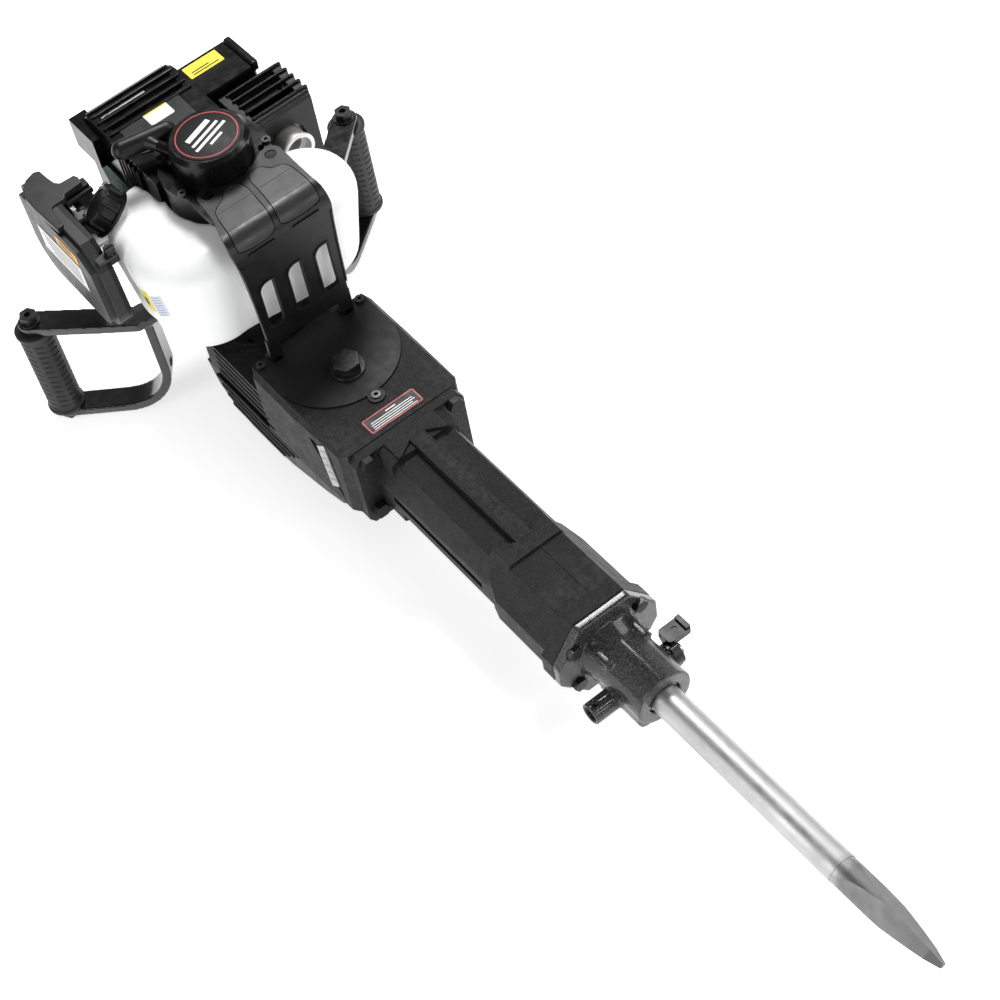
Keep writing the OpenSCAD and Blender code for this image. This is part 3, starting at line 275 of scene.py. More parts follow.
def make(name, bm, body, slot, mat, angle=38, bevel=None, replaces=(), mods=()):
    """A piece from a bmesh that rides on a body; bevel is (width in mm, segments, angle limit)."""
    me = bpy.data.meshes.new(name)
    bm.normal_update()
    bm.to_mesh(me)
    bm.free()
    o = bpy.data.objects.new(name, me)
    COLL.objects.link(o)
    for kind, settings in mods:
        md = o.modifiers.new(kind.lower(), kind)
        for k, v in settings.items():
            setattr(md, k, v)
    if bevel:
        width, segments, limit = bevel
        md = o.modifiers.new("bevel", "BEVEL")
        md.width = width * MM
        md.segments = segments
        md.limit_method = "ANGLE"
        md.angle_limit = math.radians(limit)
        md.use_clamp_overlap = True
        md.miter_outer = "MITER_ARC"
    shade(me, angle)
    if bevel:
        md = o.modifiers.new("normals", "WEIGHTED_NORMAL")
        md.keep_sharp = True
    if o.modifiers:
        bpy.context.view_layer.update()
        done = mesh_of(o)
        o.modifiers.clear()
        o.data = done
        bpy.data.meshes.remove(me)
        me = done
        me.name = name
    if not bevel:
        shade(me, angle)
    me.materials.clear()
    me.materials.append(MATS[mat])
    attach(o, body)
    if replaces:
        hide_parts(*replaces)


def node_bm(name):
    """A copy of a CAD node's mesh with the triangles of its flat faces joined."""
    bm = bmesh.new()
    bm.from_mesh(frame["nodes"][name].data)
    bmesh.ops.remove_doubles(bm, verts=bm.verts, dist=2e-6)
    bmesh.ops.dissolve_limit(bm, angle_limit=math.radians(0.6), verts=bm.verts, edges=bm.edges)
    return bm


# ---------- nodes that keep or only soften their CAD shape ----------

# pieces whose look differs from the material of their slot
LOOK = {"starter_screws": "black_oxide", "crank_cover_screws": "black_oxide", "retainer_lever": "black_oxide",
        "nameplate": "label_black", "case_bolts": "cover_black"}


def look(name):
    return LOOK.get(name, SLOT[name])


# shown with their CAD mesh: mostly parts inside the castings
AS_BUILT = ["starter_screws", "tool_sleeve", "retainer_shaft", "anvil", "cylinder_liner", "striker", "piston",
            "wrist_pin", "hammer_rod", "crank_gear", "hammer_crankshaft", "idler_gear", "bearings",
            "clutch_drum", "clutch_shoes", "engine_crankshaft", "flywheel", "starter_pulley", "crankcase",
            "cylinder_block", "insulator", "spark_plug", "filter_base", "primer_bulb", "choke_lever",
            "chisel"]
for n in AS_BUILT:
    slots = frame["nodes"][n].data.materials
    slots.clear()
    slots.append(MATS[look(n)])


def soften(name, width):
    """The CAD shape with its edges rounded by width mm, as moulded and cast parts have."""
    make("vis_" + name, node_bm(name), BODY[name], SLOT[name], look(name),
         bevel=(width, 3 if width > 1 else 2, 32), replaces=(name,))


def cast(name, voxel, rounds):
    """The CAD shape remeshed and relaxed, so that its inside and outside corners are filleted."""
    make("vis_" + name, node_bm(name), BODY[name], SLOT[name], SLOT[name], angle=60, replaces=(name,),
         mods=[("REMESH", {"mode": "VOXEL", "voxel_size": voxel * MM, "adaptivity": 0.0}),
               ("SMOOTH", {"factor": 0.5, "iterations": rounds})])


EDGE = {"front_cover_bolts": 0.5, "case_bolts": 0.7, "crank_cover": 0.7, "crank_cover_screws": 0.4,
        "cover_plug": 1.0, "plug_washer": 0.5, "louvre_cover": 0.9, "louvre_cover_screws": 0.4,
        "clutch_housing": 1.2, "starter_housing": 1.1, "engine_shroud": 1.3, "plug_cap": 0.9, "muffler": 1.0,
        "muffler_guard": 1.1, "exhaust_tube": 0.7, "carburettor": 0.8, "filter_knob": 0.6, "guard_bolts": 0.4,
        "handle_bolts": 0.8, "throttle_lever": 1.2, "throttle_mount": 1.0, "gearbox_housing": 1.4,
        "cylinder_case": 1.8, "nameplate": 0.2, "filter_cover": 1.6, "retainer_lever": 0.8,
        "starter_handle": 0.8}
for n, width in EDGE.items():
    soften(n, width)
cast("front_cover", 1.2, 5)
cast("handles", 1.3, 4)
cast("fuel_tank", 2.0, 26)

# ---------- shapes built from outlines, in mm ----------

ENGINE_Y = 648      # engine and starter axis
GRIP_X, GRIP_Y = 206, 769
GRIP_LOW, GRIP_LONG = -82, 124


def detail(name, bm, part, mat, **shape):
    """A small moulded or printed feature of a part that is fixed to the hammer."""
    make(name, bm, "hammer", SLOT[part], mat, **shape)


def rebuilt(name, bm, mat, **shape):
    """A piece shown in place of the CAD node of that name."""
    make("vis_" + name, bm, BODY[name], SLOT[name], mat, replaces=(name,), **shape)


def prism(bm, outline, z0, z1, tilt=mm):
    """Upright prism over a closed (x, y) outline; tilt maps each point to its final place."""
    low = [bm.verts.new(tilt(x, y, z0)) for x, y in outline]
    top = [bm.verts.new(tilt(x, y, z1)) for x, y in outline]
    bm.faces.new(low[::-1])
    bm.faces.new(top)
    for k in range(len(outline)):
        n = (k + 1) % len(outline)
        bm.faces.new((low[k], low[n], top[n], top[k]))
    bmesh.ops.recalc_face_normals(bm, faces=bm.faces)
    return bm


def box(bm, x0, x1, y0, y1, z0, z1):
    return prism(bm, [(x0, y0), (x1, y0), (x1, y1), (x0, y1)], z0, z1)


def round_rect(x0, x1, y0, y1, r, n=6, radii=None):
    """Closed rounded rectangle; radii gives one radius per corner from (x1, y1) anticlockwise."""
    rr = radii or (r, r, r, r)
    centres = ((x1 - rr[0], y1 - rr[0]), (x0 + rr[1], y1 - rr[1]),
               (x0 + rr[2], y0 + rr[2]), (x1 - rr[3], y0 + rr[3]))
    pts = []
    for k, (cx, cy) in enumerate(centres):
        for j in range(n + 1):
            a = math.radians(90 * k + 90 * j / n)
            pts.append((cx + rr[k] * math.cos(a), cy + rr[k] * math.sin(a)))
    return pts


def disc(cx, cy, r, n=32):
    turns = [2 * math.pi * k / n for k in range(n)]
    return [(cx + r * math.cos(a), cy + r * math.sin(a)) for a in turns]


def skin(bm, rings):
    """Closed surface through rings of the same number of vertices."""
    seg = len(rings[0])
    for a, b in zip(rings, rings[1:]):
        for k in range(seg):
            n = (k + 1) % seg
            bm.faces.new((a[k], a[n], b[n], b[k]))
    bm.faces.new(rings[0][::-1])
    bm.faces.new(rings[-1])
    bmesh.ops.recalc_face_normals(bm, faces=bm.faces)
    return bm


def lathe(bm, place, axis, rows, seg=96, warp=None):
    """Rings of (radius, height) round an axis; warp(angle, radius, height) changes the radius."""
    z = Vector(axis).normalized()
    x = z.orthogonal().normalized()
    y = z.cross(x)
    rings = []
    for r, h in rows:
        ring = []
        for k in range(seg):
            a = 2 * math.pi * k / seg
            q = warp(a, r, h) if warp else r
            ring.append(bm.verts.new(mm(*place) + (x * math.cos(a) * q + y * math.sin(a) * q + z * h) * MM))
        rings.append(ring)
    return skin(bm, rings)


def tube(bm, pts, r, seg=20):
    """Round rod through points."""
    pts = [Vector(p) for p in pts]
    turns = [2 * math.pi * j / seg for j in range(seg)]
    rings = []
    for k, p in enumerate(pts):
        d = (pts[min(k + 1, len(pts) - 1)] - pts[max(k - 1, 0)]).normalized()
        x = d.cross(Vector((0.13, 0.21, 0.97))).normalized()
        y = d.cross(x)
        rings.append([bm.verts.new((p + (x * math.cos(a) + y * math.sin(a)) * r) * MM) for a in turns])
    return skin(bm, rings)


def chaikin(pts, rounds=2):
    """Closed outline with its corners cut back to a smooth curve."""
    for _ in range(rounds):
        out = []
        for (ax, ay), (bx, by) in zip(pts, pts[1:] + pts[:1]):
            out.append((ax * 0.75 + bx * 0.25, ay * 0.75 + by * 0.25))
            out.append((ax * 0.25 + bx * 0.75, ay * 0.25 + by * 0.75))
        pts = out
    return pts


def outset(pts, d):
    """Closed anticlockwise outline moved outwards by d."""
    out = []
    for k in range(len(pts)):
        (ax, ay), (bx, by) = pts[k - 1], pts[(k + 1) % len(pts)]
        q = math.hypot(bx - ax, by - ay) or 1
        out.append((pts[k][0] + (by - ay) / q * d, pts[k][1] - (bx - ax) / q * d))
    return out


# ---------- tank guard: a sheet laid out flat, then bent along its side section ----------

GUARD_Y, GUARD_LOW = 534, 60        # front face and lower edge
BEND_Z, BEND_R = 201, 20            # start and radius of the bend to the top
STRAIGHT = BEND_Z - GUARD_LOW
BEND_STEP = 6                       # degrees
BEND_RUN = 2.094                    # length of arc in one step
BEND = [(GUARD_Y, GUARD_LOW), (GUARD_Y, BEND_Z)]
for k in range(1, 16):
    a = math.radians(BEND_STEP * k)
    BEND.append((GUARD_Y + BEND_R - BEND_R * math.cos(a), BEND_Z + BEND_R * math.sin(a)))
BEND.append((620, 221.2))


def on_bend(x, v, lift):
    """Point at width x and run v along the bend, raised by lift from the outer face."""
    for (y0, z0), (y1, z1) in zip(BEND, BEND[1:]):
        d = math.hypot(y1 - y0, z1 - z0)
        if v <= d or (y1, z1) == BEND[-1]:
            t = v / d
            ny, nz = -(z1 - z0) / d, (y1 - y0) / d
            return mm(x, y0 + (y1 - y0) * t + ny * lift, z0 + (z1 - z0) * t + nz * lift)
        v -= d


def wrap(bm, outline, holes, low, high):
    """Plate between two lifts over the bend, from a flat outline (x, run) and holes."""
    flat = bmesh.new()
    for loop in [outline] + holes:
        vs = [flat.verts.new((x, v, 0)) for x, v in loop]
        for k in range(len(vs)):
            flat.edges.new((vs[k], vs[(k + 1) % len(vs)]))
    bmesh.ops.triangle_fill(flat, use_beauty=True, use_dissolve=False, edges=flat.edges[:])
    for k in range(17):
        geo = flat.verts[:] + flat.edges[:] + flat.faces[:]
        bmesh.ops.bisect_plane(flat, geom=geo, dist=1e-5, plane_co=(0, STRAIGHT + BEND_RUN * k, 0),
                               plane_no=(0, 1, 0))
    flat.verts.index_update()
    top = [bm.verts.new(on_bend(v.co.x, v.co.y, high)) for v in flat.verts]
    bot = [bm.verts.new(on_bend(v.co.x, v.co.y, low)) for v in flat.verts]
    for f in flat.faces:
        bm.faces.new([top[v.index] for v in f.verts])
        bm.faces.new([bot[v.index] for v in f.verts][::-1])
    for e in flat.edges:
        if len(e.link_faces) == 1:
            a, b = (v.index for v in e.verts)
            bm.faces.new((top[a], bot[a], bot[b], top[b]))
    flat.free()
    bmesh.ops.recalc_face_normals(bm, faces=bm.faces)
    return bm


def slot_hole(x, g=0.0):
    """Upright slot with an arched top at width x, grown by g."""
    return round_rect(x - 8.5 - g, x + 8.5 + g, 38 - g, 98 + g, 3, radii=(3 + g, 10 + g, 3 + g, 3 + g))


PADS = [chaikin([(-50, 147), (-8, 146), (-5, 160), (-3, 171), (-1, 196), (0, 208), (-2, 217), (-9, 222),
                 (-18, 221), (-22, 216), (-26, 211), (-33, 208), (-39, 204), (-42, 198), (-44.5, 184),
                 (-46, 172), (-49, 158)]),
        chaikin([(1, 148), (46, 148), (47, 158), (47.5, 175), (47, 198), (44, 207), (37, 210), (31, 212),
                 (28, 217), (25, 222), (14, 222), (9, 217), (7.5, 210), (7, 197), (4.5, 173), (1.5, 158)])]
EARS = [(-33, 227), (42, 228)]
SLOT_X = (-33, 0, 33)
SHEET = [(-49.5, 14), (49.5, 14), (49.3, 47), (51, 80), (53.2, 108), (55.8, 139), (54.5, 160), (52.8, 172),
         (53, 185), (53.4, 205), (54, 222), (54, 231), (50, 238), (43, 240), (36, 238), (29, 234.5),
         (20, 228.6), (10, 225), (0, 223.8), (-10, 225), (-18, 227.8), (-22, 232), (-27, 237), (-34, 239),
         (-41, 236), (-44, 230), (-45, 222), (-46.5, 206), (-48.5, 194), (-52.5, 180), (-56.5, 165),
         (-57.5, 150), (-56.5, 140), (-54.5, 128), (-52.5, 105), (-50.6, 72), (-50, 45)]
SLOTS = [slot_hole(x)[::-1] for x in SLOT_X]


def guard_sheet():
    bm = bmesh.new()
    openings = SLOTS + [disc(x, v, 6.3)[::-1] for x, v in EARS] + [outset(p, 1.0)[::-1] for p in PADS]
    wrap(bm, SHEET, openings, -4.5, 0.7)
    wrap(bm, outset(SHEET, -3), SLOTS, -4.2, -2.6)
    for x in SLOT_X:
        wrap(bm, slot_hole(x, 2.2), [slot_hole(x)[::-1]], -1, 1.7)
    for s in (-1, 1):
        wrap(bm, round_rect(26 * s - 15.5, 26 * s + 15.5, 139.6, 142.2, 1), [], -1, 2.4)
        rim = [(50.5 * s, 36), (52 * s, 90), (54 * s, 132), (52.4 * s, 132), (50.4 * s, 90), (49 * s, 36)]
        wrap(bm, rim[::s], [], -1, 2.0)
    for x in (-44, 44):
        prism(bm, [(x - 7, 535), (x + 7, 535), (x + 7, 539), (x - 7, 539)], 50, 82)
        prism(bm, round_rect(x - 7, x + 7, 535, 549, 3), 50, 54.8)
    rebuilt("tank_guard", bm, "black_plastic", angle=30, bevel=(0.5, 2, 40))


def guard_pads():
    """Two raised pads with a line across each, and the dark floors of the two screw holes."""
    bm = bmesh.new()
    for pad in PADS:
        wrap(bm, pad, [], -4, 0.9)
    detail("guard_pads", bm, "tank_guard", "guard_grey", angle=30, bevel=(0.7, 3, 40))
    bm = bmesh.new()
    for x0, x1 in ((-41, -4), (7.5, 45)):
        wrap(bm, round_rect(x0, x1, 198, 198.7, 0.2), [], 0.7, 1.15)
        wrap(bm, round_rect(x0 - 4, x1 + 1, 171.8, 172.9, 0.4), [], 0.5, 1.25)
    detail("guard_lines", bm, "tank_guard", "guard_grey", bevel=(0.25, 2, 40))
    bm = bmesh.new()
    for x, v in EARS:
        wrap(bm, disc(x, v, 6.2), [], -2.5, -1.9)
    detail("guard_hole_floors", bm, "tank_guard", "label_black")


guard_sheet()
guard_pads()

# ---------- grips and fuel cap ----------


def dashes(a, r, h):
    """Rows of short slanted dashes pressed into the sleeve between its collars."""
    if h < 9 or h > 115:
        return r
    column = a / (2 * math.pi) * 8
    k = int(column)
    t = column - k
    row = (h + 4 * (k % 2) + 3.2 * t) / 8
    near = abs(row - round(row)) * 8
    return r - (1.3 * math.exp(-(near / 1.0) ** 2) if 0.16 < t < 0.84 else 0)


def grips():
    collar = [(12, 0), (19.4, 0), (20.8, 1), (20.8, 4.4), (19.4, 5.4)]
    sleeve = [(19.1, 5.9 + k * 0.62) for k in range(181)]
    top = [(r, GRIP_LONG - h) for r, h in collar[::-1]]
    bm = bmesh.new()
    for x in (-GRIP_X, GRIP_X):
        lathe(bm, (x, GRIP_Y, GRIP_LOW), (0, 0, 1), collar + sleeve + top, 150, dashes)
    rebuilt("grips", bm, "rubber", angle=50)


CAP_TILT = Matrix.Rotation(math.radians(138), 3, "Z") @ Matrix.Rotation(math.radians(42), 3, "Y")
CAP_AXIS = CAP_TILT @ Vector((0, 0, 1))


def flutes(a, r, h):
    """Wide flats between thin raised ribs on the side of the cap."""
    if h < 8.4 or r < 18:
        return r
    t = abs((a * 12 / (2 * math.pi)) % 1 - 0.5)
    return r + 2.6 * max(0.0, min(1.0, (t - 0.40) / 0.035)) - 0.5 * math.cos(t * math.pi) ** 2


def fuel_cap():
    rows = [(17, 4.6), (25.2, 4.6), (25.8, 5.2), (25.8, 7.4), (25, 8), (22.4, 8.3), (22.4, 8.8), (22.3, 12),
            (22.2, 16), (22.1, 20), (22, 24), (21.4, 25.4), (20.2, 26.2), (17.4, 26.5), (16.6, 25.4),
            (0.5, 25.2)]
    bm = lathe(bmesh.new(), (-100.6, 690.7, 183.4), CAP_AXIS, rows, 288, flutes)
    rebuilt("fuel_cap", bm, "black_plastic", angle=34)


grips()
fuel_cap()

# ---------- starter face ----------


def starter_face():
    """Disc in a recess, with a thin ring and four blank bars printed on it."""
    rows = [(33.5, 250.6), (34, 251.5), (33, 251.9), (1, 251.9)]
    bm = lathe(bmesh.new(), (0, ENGINE_Y, 0), (0, 0, 1), rows)
    detail("starter_disc", bm, "starter_housing", "cover_black", angle=30)
    outer, inner = disc(0, ENGINE_Y, 31.5, 96), disc(0, ENGINE_Y, 30.4, 96)
    bm = bmesh.new()
    for k in range(96):
        n = (k + 1) % 96
        quad = [outer[k], outer[n], inner[n], inner[k]]
        bm.faces.new([bm.verts.new(mm(x, y, 252.05)) for x, y in quad])
    bmesh.ops.remove_doubles(bm, verts=bm.verts, dist=1e-6)
    detail("starter_ring", bm, "starter_housing", "print_red")
    turn = Matrix.Rotation(math.radians(20), 3, "Z")

    def on_disc(x, y, z):
        return mm(0, ENGINE_Y, 251.8) + (turn @ Vector((x, y, z))) * MM

    bm = bmesh.new()
    for y, half, thick in ((11, 17, 3.0), (2, 20, 1.7), (-5, 23, 1.7), (-12, 9, 1.5)):
        prism(bm, round_rect(-half, half, y - thick, y + thick, 0.8), 0, 0.25, tilt=on_disc)
    detail("starter_bars", bm, "starter_housing", "print_white")


starter_face()

# ---------- engine shroud, plug cover and muffler guard ----------

SHROUD_TOP, SHROUD_R, SHROUD_TURN_Y = 215, 38, 790    # top face, and the round that leads off it


def shroud_slats():
    """Six slats that follow the round over the top rear of the shroud."""
    bm = bmesh.new()
    for i in range(6):
        y0 = 759.2 + 12 * i
        drop = max(0, y0 - SHROUD_TURN_Y)
        z0 = SHROUD_TOP
        if drop > 0:
            z0 = SHROUD_TOP - SHROUD_R + math.sqrt(SHROUD_R ** 2 - drop ** 2)
        lean = math.asin(min(1, drop / SHROUD_R))

        def put(x, y, q, y0=y0, z0=z0, c=math.cos(lean), s=math.sin(lean)):
            return mm(x, y0 + y * c + q * s, z0 - y * s + q * c)

        prism(bm, round_rect(-56, 44, -2.2, 2.2, 1.8), -3, 2.6, tilt=put)
    detail("shroud_slats", bm, "engine_shroud", "gloss_black_plastic", bevel=(0.8, 3, 30), angle=30)


def shroud_panel():
    """Bright strip between the slats, and the flat panel with its blank patch."""
    bm = box(bmesh.new(), -48, 6, 787, 793, 200, 213.4)
    detail("shroud_light_strip", bm, "engine_shroud", "bright_aluminium", bevel=(0.6, 2, 30))
    bm = prism(bmesh.new(), [(-46, 712), (-30, 706), (26, 706), (27, 757), (-46, 757)], 214.5, 216.2)
    detail("shroud_panel", bm, "engine_shroud", "black_plastic", bevel=(0.6, 2, 30), angle=30)
    bm = prism(bmesh.new(), round_rect(-17, 11, 738, 759, 2.5), 216, 216.45)
    detail("shroud_patch", bm, "engine_shroud", "print_white")
    bm = prism(bmesh.new(), round_rect(-16, 10, 755, 758.5, 1), 216.4, 216.6)
    detail("shroud_patch_stripe", bm, "engine_shroud", "print_yellow")


def plug_cover():
    """Patch with two plain lines on the plug cover, and the rim at its end."""
    bm = prism(bmesh.new(), round_rect(50, 91, 768, 788, 1.2), 212.8, 213.5)
    detail("cowl_patch", bm, "engine_shroud", "print_yellow")
    bm = bmesh.new()
    for y, end in ((771, 86), (775, 76)):
        prism(bm, round_rect(55, end, y, y + 1.4, 0.4), 213.4, 213.7)
    detail("cowl_patch_mark", bm, "engine_shroud", "label_black")
    bm = box(bmesh.new(), 104, 112, 737, 791, 205, 217)
    detail("cowl_rim", bm, "engine_shroud", "gloss_black_plastic", bevel=(2, 3, 30), angle=30)


def fins():
    """Narrow fins on the shroud's front left corner, and ribs round the muffler guard."""
    bm = bmesh.new()
    for i in range(6):
        box(bm, -62, -40, 700 + 8 * i, 703 + 8 * i, 168, 210)
    detail("shroud_fins", bm, "engine_shroud", "gloss_black_plastic", bevel=(1, 3, 30), angle=30)
    bm = bmesh.new()
    for i in range(5):
        box(bm, 62, 128.5, 675 + 12 * i, 678 + 12 * i, 206, 211)
        box(bm, 125, 129.5, 675 + 12 * i, 678 + 12 * i, 120, 210)
    detail("muffler_guard_ribs", bm, "muffler_guard", "gloss_black_plastic", bevel=(1, 3, 30), angle=30)


shroud_slats()
shroud_panel()
plug_cover()
fins()

# ---------- air filter and carburettor ----------


def filter_shelf():
    """Shelf on top of the filter cover."""
    edge = [(-159, 700), (-161, 740), (-160.5, 762), (-156, 774), (-147, 783), (-136, 787), (-130, 784),
            (-129, 768), (-127.5, 758), (-124, 753), (-108, 752), (-106, 747), (-107, 738), (-128, 736),
            (-131, 731), (-147, 730), (-150, 722), (-151, 700)]
    bm = prism(bmesh.new(), edge, 197, 204.6)
    detail("filter_shelf", bm, "filter_cover", "grey_plastic", bevel=(1, 3, 30), angle=30)


def carburettor_side():
    """Adapter and stay that bridge the gap to the engine, and the bright levers beside them."""
    bm = bmesh.new()
    box(bm, -137, -100, 738, 751, 140, 197.5)
    box(bm, -137, -128, 700, 730, 150, 176)
    detail("carb_adapter", bm, "filter_base", "black_plastic", bevel=(1.5, 3, 30), angle=30)
    bm = tube(bmesh.new(), [(-132, 734, 193), (-100, 735, 192)], 3.2)
    detail("carb_stay", bm, "filter_base", "cover_black", bevel=(0.5, 2, 30))
    bm = bmesh.new()
    box(bm, -131, -126.5, 724, 737, 176, 191)
    box(bm, -143, -132, 727, 732, 158, 184)
    box(bm, -126, -118, 729, 736, 171, 181)
    box(bm, -137, -127, 722, 730, 150, 166)
    lathe(bm, (-121, 733, 178), (1, 0, 0), [(3.6, 0), (4, 0.6), (4, 5), (3.4, 5.6)], 32)
    detail("carb_levers", bm, "carburettor", "bright_aluminium", bevel=(0.9, 3, 30), angle=30)


filter_shelf()
carburettor_side()

# ---------- gearbox and barrel ----------

FLANK_X = 73.4      # side face of the gearbox under the badges


def side_badges():
    """Silver badge with slanted ribs on each flank."""
    bm = bmesh.new()
    for s in (-1, 1):
        def stand(y, z, q, s=s):
            return mm(s * (FLANK_X + q), y, z)

        prism(bm, [(432, 33), (417, 45), (408, -12), (423, -24)], -1.5, 0.5, tilt=stand)
        for k in range(5):
            t = 0.12 + 0.17 * k
            ay, az, by, bz = 432 - 9 * t, 33 - 57 * t, 417 - 9 * t, 45 - 57 * t
            rib = [(ay - 2, az + 1), (by + 2, bz - 2), (by + 1.2, bz - 7), (ay - 3, az - 4)]
            prism(bm, rib, 0, 1.3, tilt=stand)
    rebuilt("side_badges", bm, "badge_silver", bevel=(0.3, 2, 30))


def parting_bead():
    """Bead along the top of the barrel's front block."""
    bm = box(bmesh.new(), 5.2, 6.6, 107, 186, 44, 47.7)
    detail("case_bead", bm, "cylinder_case", "cast_black", bevel=(0.4, 2, 30))


def louvre_blades():
    """Blades between the louvres of the lower cover, each shorter than the one above."""
    bm = bmesh.new()
    for x0, x1 in ((-74, -70.5), (70.5, 74)):
        for i in range(4):
            box(bm, x0, x1, 492 + 12 * i, 648 - 7 * i, -46.5 - 10 * i, -42 - 10 * i)
    detail("louvre_blades", bm, "louvre_cover", "cast_black", bevel=(1.2, 3, 30))


def rope_strands():
    """Two strands of starter rope by the handle."""
    bm = bmesh.new()
    tube(bm, [(-28, 700, 228), (-31, 706, 233), (-35, 713, 238)], 1.3)
    tube(bm, [(-34, 697, 228), (-37, 703, 233), (-41, 709, 238)], 1.3)
    detail("rope_strands", bm, "starter_housing", "print_white")


side_badges()
parting_bead()
louvre_blades()
rope_strands()

# ---------- printed patches laid on surfaces ----------


def decal(name, onto, origin, u, v, rects, mat, lift=0.25, cell=2.0, n=None):
    """Thin patch laid on a surface: rectangles in (u, v) mm are cast onto the piece along n, or u x v."""
    src = bmesh.new()
    src.from_mesh(bpy.data.objects[onto].data)
    tree = BVHTree.FromBMesh(src)
    u, v = Vector(u).normalized(), Vector(v).normalized()
    n = Vector(n).normalized() if n else u.cross(v).normalized()
    bm = bmesh.new()
    for a0, b0, a1, b1 in rects:
        nu, nv = max(1, int((a1 - a0) / cell)), max(1, int((b1 - b0) / cell))
        grid = []
        for i in range(nu + 1):
            row = []
            for j in range(nv + 1):
                p = mm(*origin) + (u * (a0 + (a1 - a0) * i / nu) + v * (b0 + (b1 - b0) * j / nv)) * MM
                hit = tree.ray_cast(p + n * 0.05, -n)[0]
                row.append(bm.verts.new(hit + n * lift * MM) if hit else None)
            grid.append(row)
        for i in range(nu):
            for j in range(nv):
                q = (grid[i][j], grid[i + 1][j], grid[i + 1][j + 1], grid[i][j + 1])
                if all(q):
                    bm.faces.new(q)
    src.free()
    loose = [x for x in bm.verts if not x.link_faces]
    bmesh.ops.delete(bm, geom=loose, context="VERTS")
    detail(name, bm, "nameplate", mat)


def tank_patches():
    at = dict(onto="vis_fuel_tank", origin=(-125, 629, 147), u=(0.287, -0.818, 0.446), v=(0, 0, 1),
              n=(-0.93, -0.33, -0.1))
    decal("tank_patch_yellow", rects=[(0, -33, 19, 0)], mat="print_yellow", lift=0.4, **at)
    decal("tank_patch_pale", rects=[(22, -38, 42, -5)], mat="print_blue", lift=0.4, **at)
    lines = [(24, y, 39, y + 0.7) for y in range(-36, -7, 4)]
    decal("tank_patch_lines", rects=lines, mat="grey_plastic", lift=0.6, cell=1.0, **at)
    decal("tank_patch_mark", rects=[(6, -22, 13, -10)], mat="label_black", lift=0.6, cell=1.0, **at)


def filter_patches():
    at = dict(onto="vis_filter_cover", origin=(-160, 700, 182), u=(0, -1, 0), v=(0, 0, 1))
    decal("filter_patch_orange", rects=[(-13, -7, 30, 6)], mat="print_orange", lift=0.5, **at)
    decal("filter_patch_pale", rects=[(-58, -44, 30, -11)], mat="print_white", lift=0.5, **at)
    lines = [(-50 + 3 * k, -18 - 5 * k, 22, -17 - 5 * k) for k in range(5)]
    lines += [(-8, -3, 24, -1), (-8, 1, 18, 2.6)]
    decal("filter_patch_lines", rects=lines, mat="label_black", lift=0.7, cell=1.5, **at)


def label_plate():
    """Red outline and blank bars on the label plate."""
    at = dict(onto="vis_nameplate", origin=(0, 400.5, 60), u=(1, 0, 0), v=(0, 1, 0), lift=0.2)
    outline = [(-31, -9.7, 31, -8.5), (-31, 8.5, 31, 9.7), (-31, -9.7, -29.8, 9.7), (29.8, -9.7, 31, 9.7)]
    decal("nameplate_frame", rects=outline, mat="print_red", **at)
    bars = [(-5, 4.3, 7, 5.6), (-25, 0.9, 25, 1.9), (-26, -1.9, 26, -0.9), (-26, -4.7, 22, -3.7),
            (-26, -7.3, 26, -6.4)]
    decal("nameplate_bars", rects=bars, mat="print_white", **at)


tank_patches()
filter_patches()
label_plate()

# ---------- stage, light and camera ----------


def white_floor():
    """Plain pale floor just under the part, bright enough to read as white."""
    bm = bmesh.new()
    bmesh.ops.create_grid(bm, x_segments=1, y_segments=1, size=12)
    me = bpy.data.meshes.new("floor")
    bm.to_mesh(me)
    bm.free()
    floor = bpy.data.objects.new("floor", me)
    floor.location = (0, 0, cad_box[0][2] - 0.002)
    COLL.objects.link(floor)
    m, nt, p = new_mat("floor_white")
    p.inputs["Base Color"].default_value = (0.9, 0.9, 0.9, 1)
    p.inputs["Roughness"].default_value = 0.9
    p.inputs["Specular IOR Level"].default_value = 0.1
    p.inputs["Emission Color"].default_value = (1, 1, 1, 1)
    p.inputs["Emission Strength"].default_value = 0.62
    me.materials.append(m)


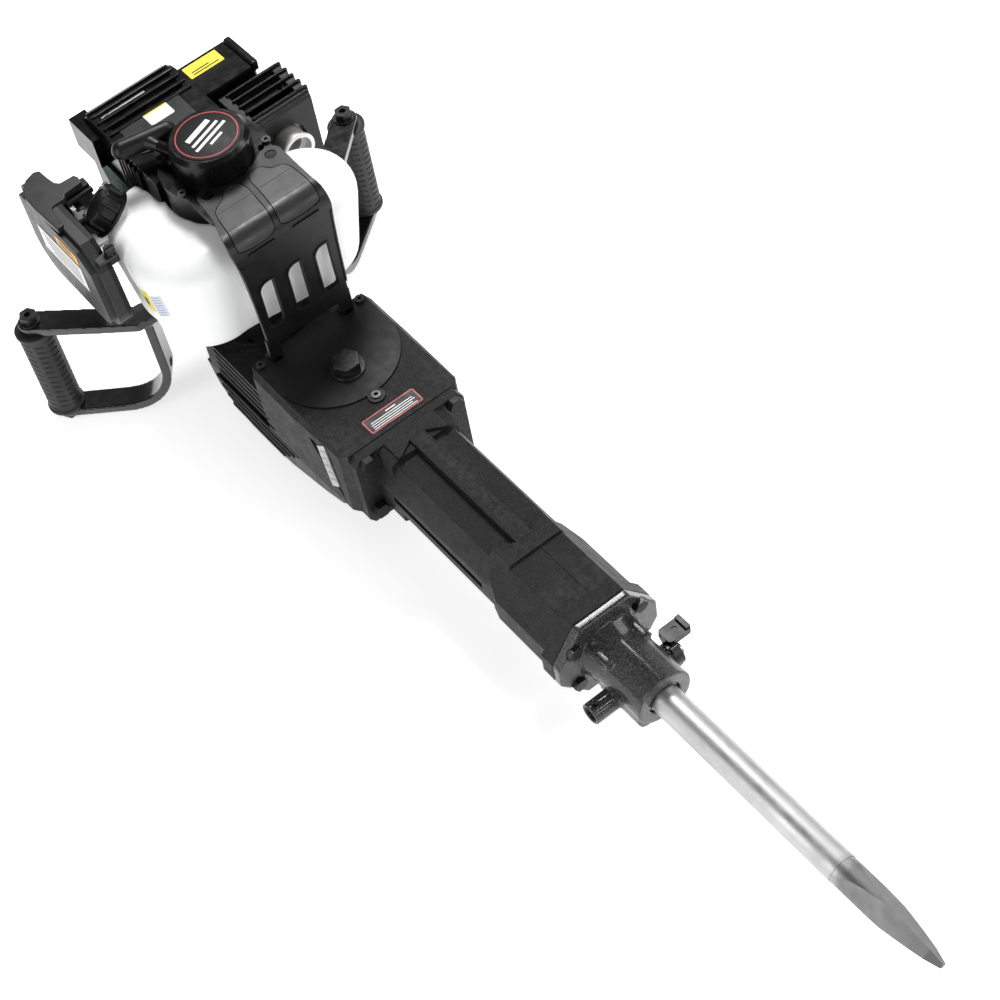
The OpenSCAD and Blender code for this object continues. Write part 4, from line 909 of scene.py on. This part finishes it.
def area(name, place, target, size, power):
    """Rectangular lamp that points at a target."""
    l = bpy.data.lights.new(name, "AREA")
    l.shape = "RECTANGLE"
    l.size, l.size_y = size
    l.energy = power
    o = bpy.data.objects.new(name, l)
    COLL.objects.link(o)
    o.location = place
    o.rotation_euler = (Vector(target) - Vector(place)).to_track_quat("-Z", "Y").to_euler()


def camera(place, azimuth, elevation, roll, lens, shift):
    """Camera at a place in metres; the angles are degrees, with the azimuth measured from +Y."""
    az, el, turn = math.radians(azimuth), math.radians(elevation), math.radians(roll)
    ahead = Vector((math.sin(az) * math.cos(el), math.cos(az) * math.cos(el), -math.sin(el)))
    right = Vector((math.cos(az), -math.sin(az), 0))
    up = right.cross(ahead)
    right, up = right * math.cos(turn) - up * math.sin(turn), up * math.cos(turn) + right * math.sin(turn)
    cam = bpy.data.cameras.new("camera")
    cam.sensor_width = 36
    cam.lens = lens
    cam.shift_x, cam.shift_y = shift
    cam.clip_start, cam.clip_end = 0.05, 30
    o = bpy.data.objects.new("camera", cam)
    COLL.objects.link(o)
    o.matrix_world = Matrix.Translation(place) @ Matrix((right, up, -ahead)).transposed().to_4x4()
    scene.camera = o


white_floor()
scene = bpy.context.scene
scene.world = bpy.data.worlds.new("studio")
scene.world.use_nodes = True
background = scene.world.node_tree.nodes["Background"]
background.inputs["Color"].default_value = (1, 1, 1, 1)
background.inputs["Strength"].default_value = 0.17
scene.view_settings.view_transform = "Standard"
scene.view_settings.look = "None"
MIDDLE = (0, 0.45, 0)
area("key", (0.7, 1.5, 1.9), MIDDLE, (0.6, 0.6), 40)
area("left", (-1.9, 0.3, 0.9), MIDDLE, (0.9, 1.5), 16)
area("right", (1.7, 0.0, 1.3), MIDDLE, (0.5, 1.6), 14)
area("front", (0.2, -1.7, 0.9), (0, 0.2, 0), (1.2, 0.4), 8)
area("strip", (0.45, -0.75, 1.12), (0, 0.54, 0.21), (0.9, 0.07), 5)
camera((-0.5555, -0.7828, 1.5885), 21.05, 53.66, 18.0, 74.56, (0.1549, 0.0767))
